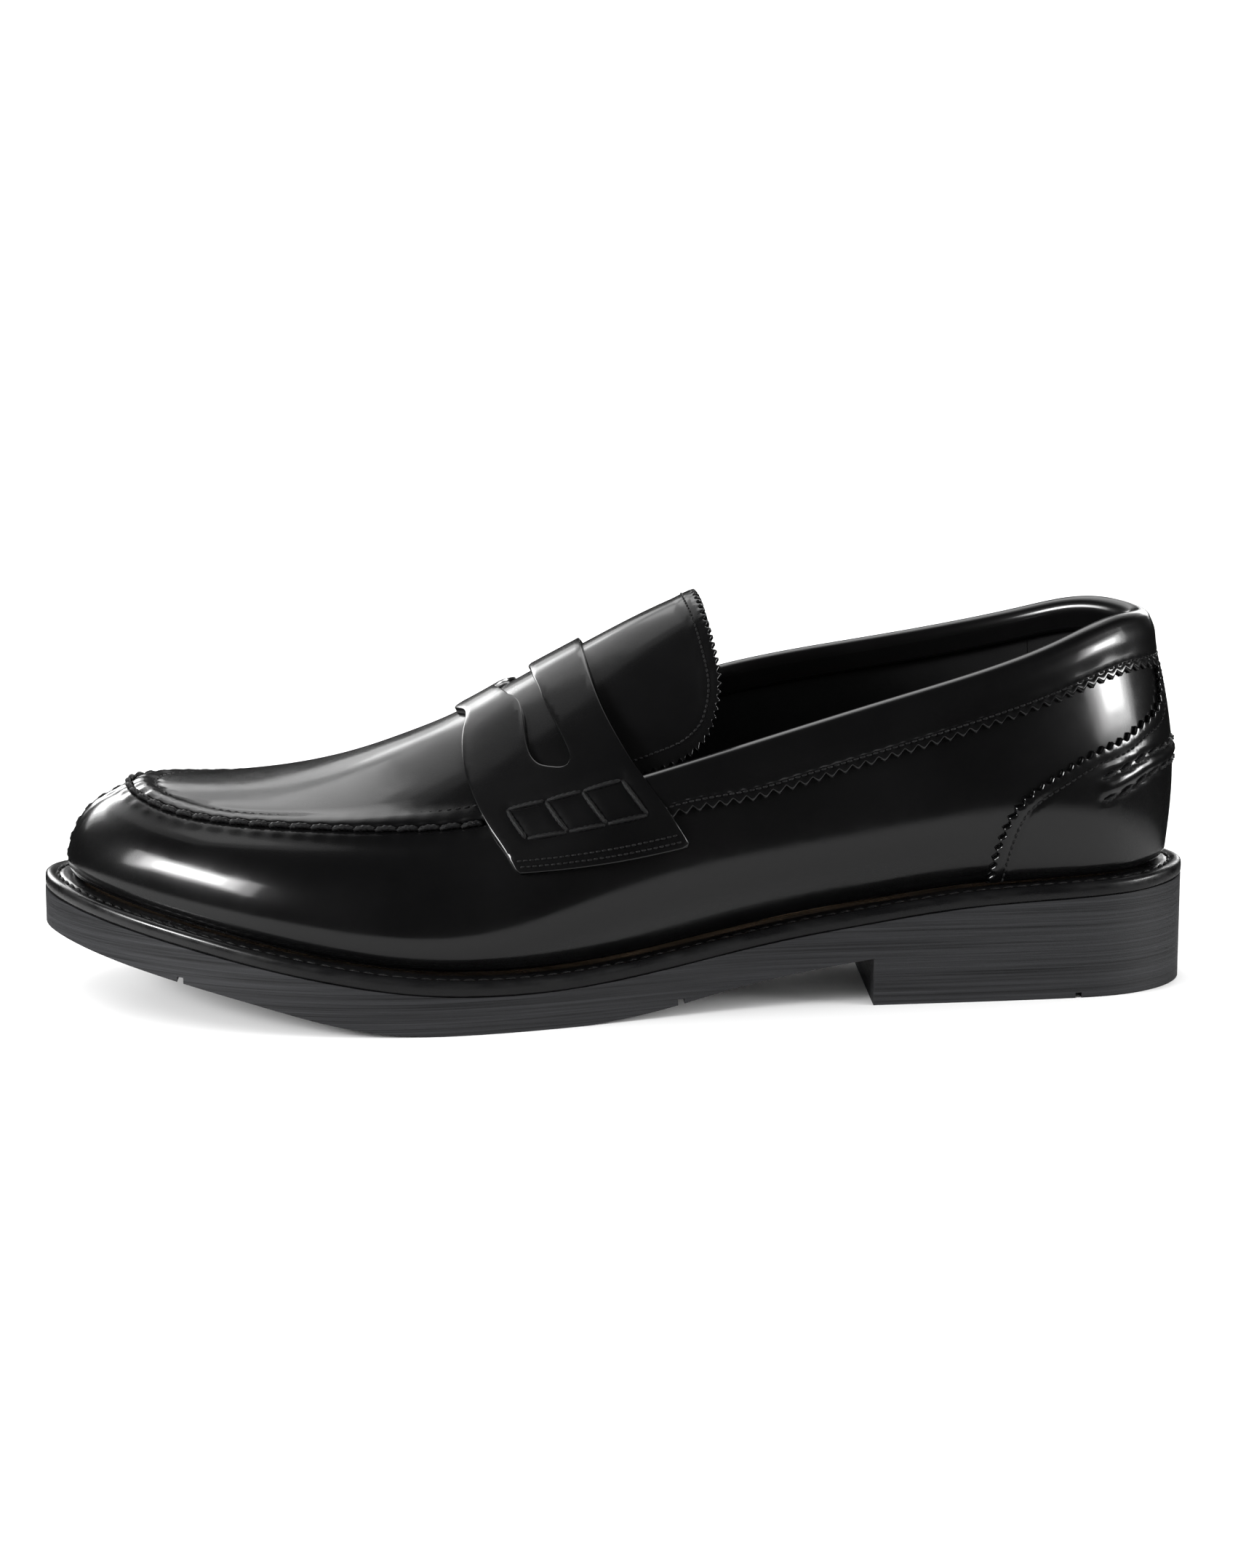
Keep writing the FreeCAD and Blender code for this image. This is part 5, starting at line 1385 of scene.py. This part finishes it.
def tongue_rim(inset, count=260):
    """The tongue's free edge from the outer side round to the inner side, moved in by inset."""
    half = np.array(TONGUE_EDGE + TONGUE_SIDE) * (SHARE, LONG)
    line = smooth_line(np.concatenate([half[::-1], half[1:] * (-1.0, 1.0)]), count)
    return moved_sideways(line, inset)


def tongue_loop(inset, toothed):
    """The tongue's outline, in the plane of tongue_place."""
    rim = tongue_rim(inset)
    if toothed:
        rim = pinked(rim, tongue_place, TONGUE_TOOTH, TONGUE_TOOTH_DEPTH)
    reach = TONGUE_REACH - inset / SHARE
    share = np.linspace(-reach, reach, 60)
    front = np.maximum(TONGUE_FRONT * LONG, saddle_rear(np.abs(share)) - TONGUE_HELD) + inset / 2
    return np.concatenate([rim, np.stack([share * SHARE, front], 1)])


def tongue_wave(a, b):
    """The tongue's soft waves, growing towards its free edge."""
    return 0.25 * np.sin(a / 7.0) * np.clip((b + 120.0) / 30.0, 0, 1)


def tongue_relief(a, b):
    """The raised strip along the free edge, with its pressed stitch line."""
    past_row = line_distance(np.stack([a, b], -1), tongue_rim(0.0, 120)) - TONGUE_ROW
    strip = 0.3 / (1 + np.exp((past_row - 1.3) / 0.2))
    return strip - 0.3 * hump(past_row, 0.5) + tongue_wave(a, b)


def make_tongue():
    """The tongue with its pinked edge strip, its lining and its stitch row, all on one surface with the
    same soft waves.
    """
    leather = cut_sheet([tongue_loop(0.0, True)], tongue_place, PANEL, 1.3, 0.35, tongue_relief)
    lining = cut_sheet([tongue_loop(TONGUE_LINING_INSET, False)], tongue_place, TONGUE_LINING_LAYER, 1.8,
                       0.3, tongue_wave)
    a, b = tongue_rim(TONGUE_ROW, 500).T
    path = tongue_place(a, b, 0.06 + tongue_wave(a, b))
    row = stitch_row(path, row_normal(tongue_place(a, b, 2.0) - path), **STITCHES["tongue"])
    pieces = (mesh_piece("tongue_leather", "tongue", leather, LEATHER, body=None),
              mesh_piece("tongue_inner", "tongue_lining", lining, LINING, body=None),
              thread_piece("tongue_thread", "tongue_stitching", [row], body=None))
    for piece in pieces:
        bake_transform(piece)


# ---- The inside ----
LINING_LAYER, LINING_FOOT, LINING_GAP = (-3.34, -2.44), 0.03, 0.2
# The heel grip reaches this far round to each side; the vamp's lining joins the others at this y.
GRIP, VAMP_JOIN, VAMP_DROP = 45.0, -118.0, 4.5


def lining_sheet(name, node, start, stop, below=0.0, amount=0.21):
    """A lining on the inside of the wall, with the soft wrinkles of worn leather."""
    def round_shoe(p):
        return start + (stop - start) * p

    def place(p, q, depth):
        t = round_shoe(p)
        return wall_at(t, LINING_FOOT + (drop(t, below) - LINING_FOOT) * q, depth)

    def wrinkle(p, q):
        return -amount * (0.5 + 0.5 * np.sin(round_shoe(p) / 9.0 + 3.0 * q)) * np.sin(math.pi * q)

    shape = sheet(place, (abs(stop - start), 58.0), LINING_LAYER, 2.2, 0.3, wrinkle)
    mesh_piece(name, node, shape, LINING)


def make_linings():
    """The linings of both quarters, of the heel and of the forefoot."""
    outer, inner = [float(t_at(VAMP_JOIN * LONG, side)) for side in (1, -1)]
    gap = LINING_GAP
    lining_sheet("outer_quarter_lining", "lateral_quarter_lining", GRIP + gap, outer - gap)
    lining_sheet("inner_quarter_lining", "medial_quarter_lining", inner + gap, LOOP - GRIP - gap)
    lining_sheet("heel_grip_lining", "heel_grip", -GRIP, GRIP, amount=0.09)
    lining_sheet("vamp_inner_lining", "vamp_lining", outer + gap, inner - gap, below=VAMP_DROP)


# ---- The bottom ----
# How far inside the sole's edge the insole lies, and how far above the sole's top its upper face is.
INSOLE_INSET, SOCK_LOW = 10.74, 6.96


def plan_table(inset, side):
    """The sole's outline moved in, on one side, as rows of y and x with y rising."""
    rows = outline(side_span(side), inset)[:, ::-1]
    return rows[np.argsort(rows[:, 0])]


def foot_shape(inset, rear, front, count, columns):
    """Plan points of a piece that fills the outline, and their distances to its sides and ends."""
    tables = [plan_table(inset, side) for side in (-1, 1)]
    ends = (max(table[0, 0] for table in tables), min(table[-1, 0] for table in tables))
    rear, front = min(rear, ends[1] - 0.02), max(front, ends[0] + 0.02)
    y = (rear + front) / 2 + (rear - front) / 2 * np.cos(np.linspace(0, math.pi, count))
    left, right = [np.interp(y, table[:, 0], table[:, 1])[:, None] for table in tables]
    share = 0.5 - 0.5 * np.cos(np.linspace(0, math.pi, columns))
    x = left * (1 - share) + right * share
    tip = np.minimum(rear - y, y - front)[:, None]
    return x, np.repeat(y[:, None], columns, axis=1), np.minimum(x - left, right - x), tip


def cushion(name, node, inset, rear, front, low, thickness, dish=0.0, dome=0.0):
    """A soft flat piece that lies on the insole: its edge rises and its middle is domed."""
    x, y, reach, tip = foot_shape(inset, rear, front, 130, 34)
    near = np.minimum(reach, tip)
    rise = dish * hump(reach, 7.0)
    folds = 0.14 * np.sin(y / 6.3 + x / 15.0) * np.clip((-y - 60.0) / 40.0, 0, 1)
    swell = dome * (1 - hump(near, 6.0)) + folds * (1 - hump(near, 5.0))
    base = sole_top(y) + low
    round_edge = edge_fall(np.clip(near, 0, 9), 0.55)
    top = np.stack([x, y, base + thickness + swell + rise - round_edge], -1)
    under = np.stack([x, y, base + rise * 0.9], -1)
    mesh_piece(name, node, closed_sheet(top[::-1], under[::-1]), LINING)


def make_foot_bed():
    """The thin leather under the whole foot, and the pad under its heel."""
    rear = (35.0 - INSOLE_INSET) * LONG
    cushion("foot_bed_leather", "sock_liner", INSOLE_INSET - 0.5, rear + 0.5, -262.0 * LONG, SOCK_LOW,
            1.2, dish=0.9)
    cushion("heel_cushion", "heel_pad", INSOLE_INSET + 3.6, rear - 2.6, -44.0 * LONG, SOCK_LOW + 1.3, 2.0,
            dome=0.9)


# The welt's section, as (distance inside the sole's edge, height above the sole's top).
WELT_SECTION = ((0.55, 0.12), (0.12, 0.35), (0.0, 0.9), (-0.05, 2.0), (0.0, 2.9), (0.18, 3.42),
                (0.62, 3.82), (1.2, 3.97), (1.9, 4.0), (2.35, 3.92), (2.7, 3.62), (3.3, 3.5),
                (3.9, 3.62), (4.25, 3.92), (4.8, 4.0), (5.6, 4.02), (6.2, 4.08), (11.0, 4.08),
                (11.0, 0.12))
# The stitch row's place in its groove, and the pitch of the stitch wheel's marks beside it.
WELT_STITCH, WELT_STITCH_HEIGHT, WHEEL_PITCH, WHEEL_INSET = 3.3, 3.62, 1.75, 4.6


def make_welt():
    """The rim round the shoe, with a groove for the stitches and the marks of the stitch wheel."""
    count = 900
    t = np.linspace(0.0, LOOP, count, endpoint=False)
    gaps = distances(outline(t, 0.0))
    marks = np.abs(np.sin(math.pi * gaps / WHEEL_PITCH))
    rows = []
    for inset, height in WELT_SECTION:
        plan = outline(t, inset)
        wheel = 0.16 * marks * hump(inset - WHEEL_INSET, 0.5) * (height > 1.0)
        hand = 0.05 * np.sin(gaps / 6.1) * (inset < 1.0)
        rows.append(np.column_stack([plan, sole_top(plan[:, 1]) + height - wheel + hand]))
    faces = grid_faces(len(rows), count, close_rows=True, close_columns=True, flip=True)
    mesh_piece("welt_rim", "welt", (np.concatenate(rows), faces), WELT)
    plan = outline(np.linspace(0.0, LOOP, 3000), WELT_STITCH)
    path = np.column_stack([plan, sole_top(plan[:, 1]) + WELT_STITCH_HEIGHT])
    ups = np.zeros_like(path) + (0.0, 0.0, 1.0)
    thread_piece("welt_thread", "welt_stitching", [stitch_row(path, ups, **STITCHES["welt"])])


def finish_frame_nodes():
    """Materials for the shapes of the frame that show or lie hidden, and the sole's worn edges."""
    for node, material in FRAME_FINISHES.items():
        finish_frame_node(node, material)
    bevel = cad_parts["outsole"].modifiers.new("worn_edges", "BEVEL")
    bevel.width = 0.5 * MM
    bevel.segments = 3
    bevel.limit_method = "ANGLE"
    bevel.angle_limit = math.radians(50)
    bevel.harden_normals = True


# ---- The studio ----
# The floor fades out between these distances from the origin, in metres.
FLOOR_FADE = (0.7, 1.5)
# The room's strength as light, in glossy reflections and to the camera.
ROOM_LIGHT, ROOM_REFLECTED, ROOM_SEEN = 1.12, 0.012, 1.6
# Glossy leather mirrors only this much of the floor: an ellipse about the shoe, and how strongly.
MIRRORED_MIDDLE, MIRRORED_REACH, MIRRORED_SHARE = (0.006, -0.115), (0.16, 0.25), 0.4


def floor_alpha(n):
    """How much of the floor shows: all of it near the middle, less of it in glossy reflections."""
    seen = n.ramp(n.length(n.place), 1.0, 0.0, *FLOOR_FADE)
    near = n.add("ShaderNodeMapping", vector_type="TEXTURE", Location=(*MIRRORED_MIDDLE, 0.0),
                 Scale=(*MIRRORED_REACH, 1.0))
    n.link(n.place, near.inputs["Vector"])
    mirrored = n.ramp(n.length(near.outputs["Vector"]), MIRRORED_SHARE, 0.0, 0.9, 1.1)
    glossy = n.add("ShaderNodeLightPath").outputs["Is Glossy Ray"]
    alpha = n.add("ShaderNodeMix")
    for source, target in ((glossy, "Factor"), (seen, "A"), (mirrored, "B")):
        n.link(source, alpha.inputs[target])
    return alpha.outputs["Result"]


def pale_floor():
    """A white floor that fades out into the white behind it."""
    n = Nodes("pale_floor")
    n.set(Base_Color=(0.86, 0.86, 0.86, 1.0), Roughness=0.6, Specular_IOR_Level=0.15)
    n.feed("Alpha", floor_alpha(n))
    mesh = bpy.data.meshes.new("floor")
    reach = FLOOR_FADE[1]
    corners = [(-reach, -reach, 0), (reach, -reach, 0), (reach, reach, 0), (-reach, reach, 0)]
    mesh.from_pydata(corners, [], [(0, 1, 2, 3)])
    mesh.materials.append(n.material)
    stand("floor", mesh)


def stand(name, data):
    """Puts something in the studio that is no part of the shoe."""
    thing = bpy.data.objects.new(name, data)
    bpy.context.scene.collection.objects.link(thing)
    return thing


def white_room():
    """White to the eye and soft grey as light, but a dark studio in the leather's reflections."""
    world = bpy.data.worlds.new("studio")
    world.use_nodes = True
    tree = world.node_tree
    ray = tree.nodes.new("ShaderNodeLightPath")
    strength = None
    for kind, value in (("Is Glossy Ray", ROOM_REFLECTED), ("Is Camera Ray", ROOM_SEEN)):
        mix = tree.nodes.new("ShaderNodeMix")
        mix.inputs["A"].default_value = ROOM_LIGHT
        mix.inputs["B"].default_value = value
        tree.links.new(ray.outputs[kind], mix.inputs["Factor"])
        if strength:
            tree.links.new(strength, mix.inputs["A"])
        strength = mix.outputs["Result"]
    background = tree.nodes["Background"]
    background.inputs["Color"].default_value = (1.0, 1.0, 1.0, 1.0)
    tree.links.new(strength, background.inputs["Strength"])
    bpy.context.scene.world = world


def softbox(name, place, target, size, power):
    """A rectangular soft light that faces a target."""
    light = bpy.data.lights.new(name, "AREA")
    light.shape = "RECTANGLE"
    light.size, light.size_y = size
    light.energy = power
    lamp = stand(name, light)
    lamp.location = place
    lamp.rotation_euler = (Vector(target) - Vector(place)).to_track_quat("-Z", "Y").to_euler()


def soft_edged_light(name, place, target, size, power):
    """Nested softboxes, so that the light fades towards its edges."""
    for k, share in enumerate(NEST_SHARES):
        nearer = place + (target - place) * NEST_STEP * k
        nested = (size[0] * share, size[1] * share)
        softbox(f"{name}_{k}", nearer, target, nested, power / len(NEST_SHARES))


def towards(azimuth, elevation, distance):
    """A direction from the shoe: azimuth turns from the outer side towards the toe, in degrees."""
    turn, rise = math.radians(azimuth), math.radians(elevation)
    level = math.cos(rise)
    return Vector((math.cos(turn) * level, -math.sin(turn) * level, math.sin(rise))) * distance


# Each soft light: azimuth, elevation and distance from the shoe's middle, width and height, power.
LIGHTS = {
    "overhead": ((180.0, 50.0, 1.77), (2.4, 2.0), 11.5),
    "toe_side": ((65.0, 22.0, 1.6), (1.2, 0.62), 34.0),
    "heel_side": ((-75.0, 13.0, 1.6), (0.9, 0.6), 17.0),
    "inner_toe": ((150.0, 20.0, 1.6), (1.0, 0.5), 6.0),
    "inner_heel": ((-150.0, 15.0, 1.6), (0.8, 0.5), 5.0),
}
# Each is a nest of softboxes: their sizes, and how much nearer to the shoe each next one stands.
NEST_SHARES, NEST_STEP = (1.0, 0.72, 0.46), 0.01


def make_studio():
    """A pale floor, soft lights all round and a white room, shown without a film curve."""
    pale_floor()
    middle = (Vector(CAD_BOX[0]) + Vector(CAD_BOX[1])) / 2
    for name, (direction, size, power) in LIGHTS.items():
        soft_edged_light(name, middle + towards(*direction), middle, size, power)
    white_room()
    bpy.context.scene.view_settings.view_transform = "Standard"


# The camera's place in metres, how far it looks down and turns in degrees, and its lens.
CAMERA_PLACE, CAMERA_PITCH, CAMERA_YAW, CAMERA_LENS = (0.8948, -0.148, 0.226), 11.0, -2.3, 79.6


def make_camera():
    """The camera that looks at the shoe's outer side from a little above."""
    data = bpy.data.cameras.new("camera")
    data.lens, data.sensor_width = CAMERA_LENS, 36.0
    camera = bpy.data.objects.new("camera", data)
    camera.location = CAMERA_PLACE
    forward = -towards(-CAMERA_YAW, CAMERA_PITCH, 1.0)
    camera.rotation_euler = forward.to_track_quat("-Z", "Y").to_euler()
    bpy.context.scene.collection.objects.link(camera)
    bpy.context.scene.camera = camera


# ---- The whole shoe ----
make_side_panels()
make_apron()
make_apron_stitches()
make_saddle()
make_saddle_stitches()
make_collar()
make_foxing()
make_tongue()
make_linings()
make_foot_bed()
make_welt()
finish_frame_nodes()
make_studio()
make_camera()
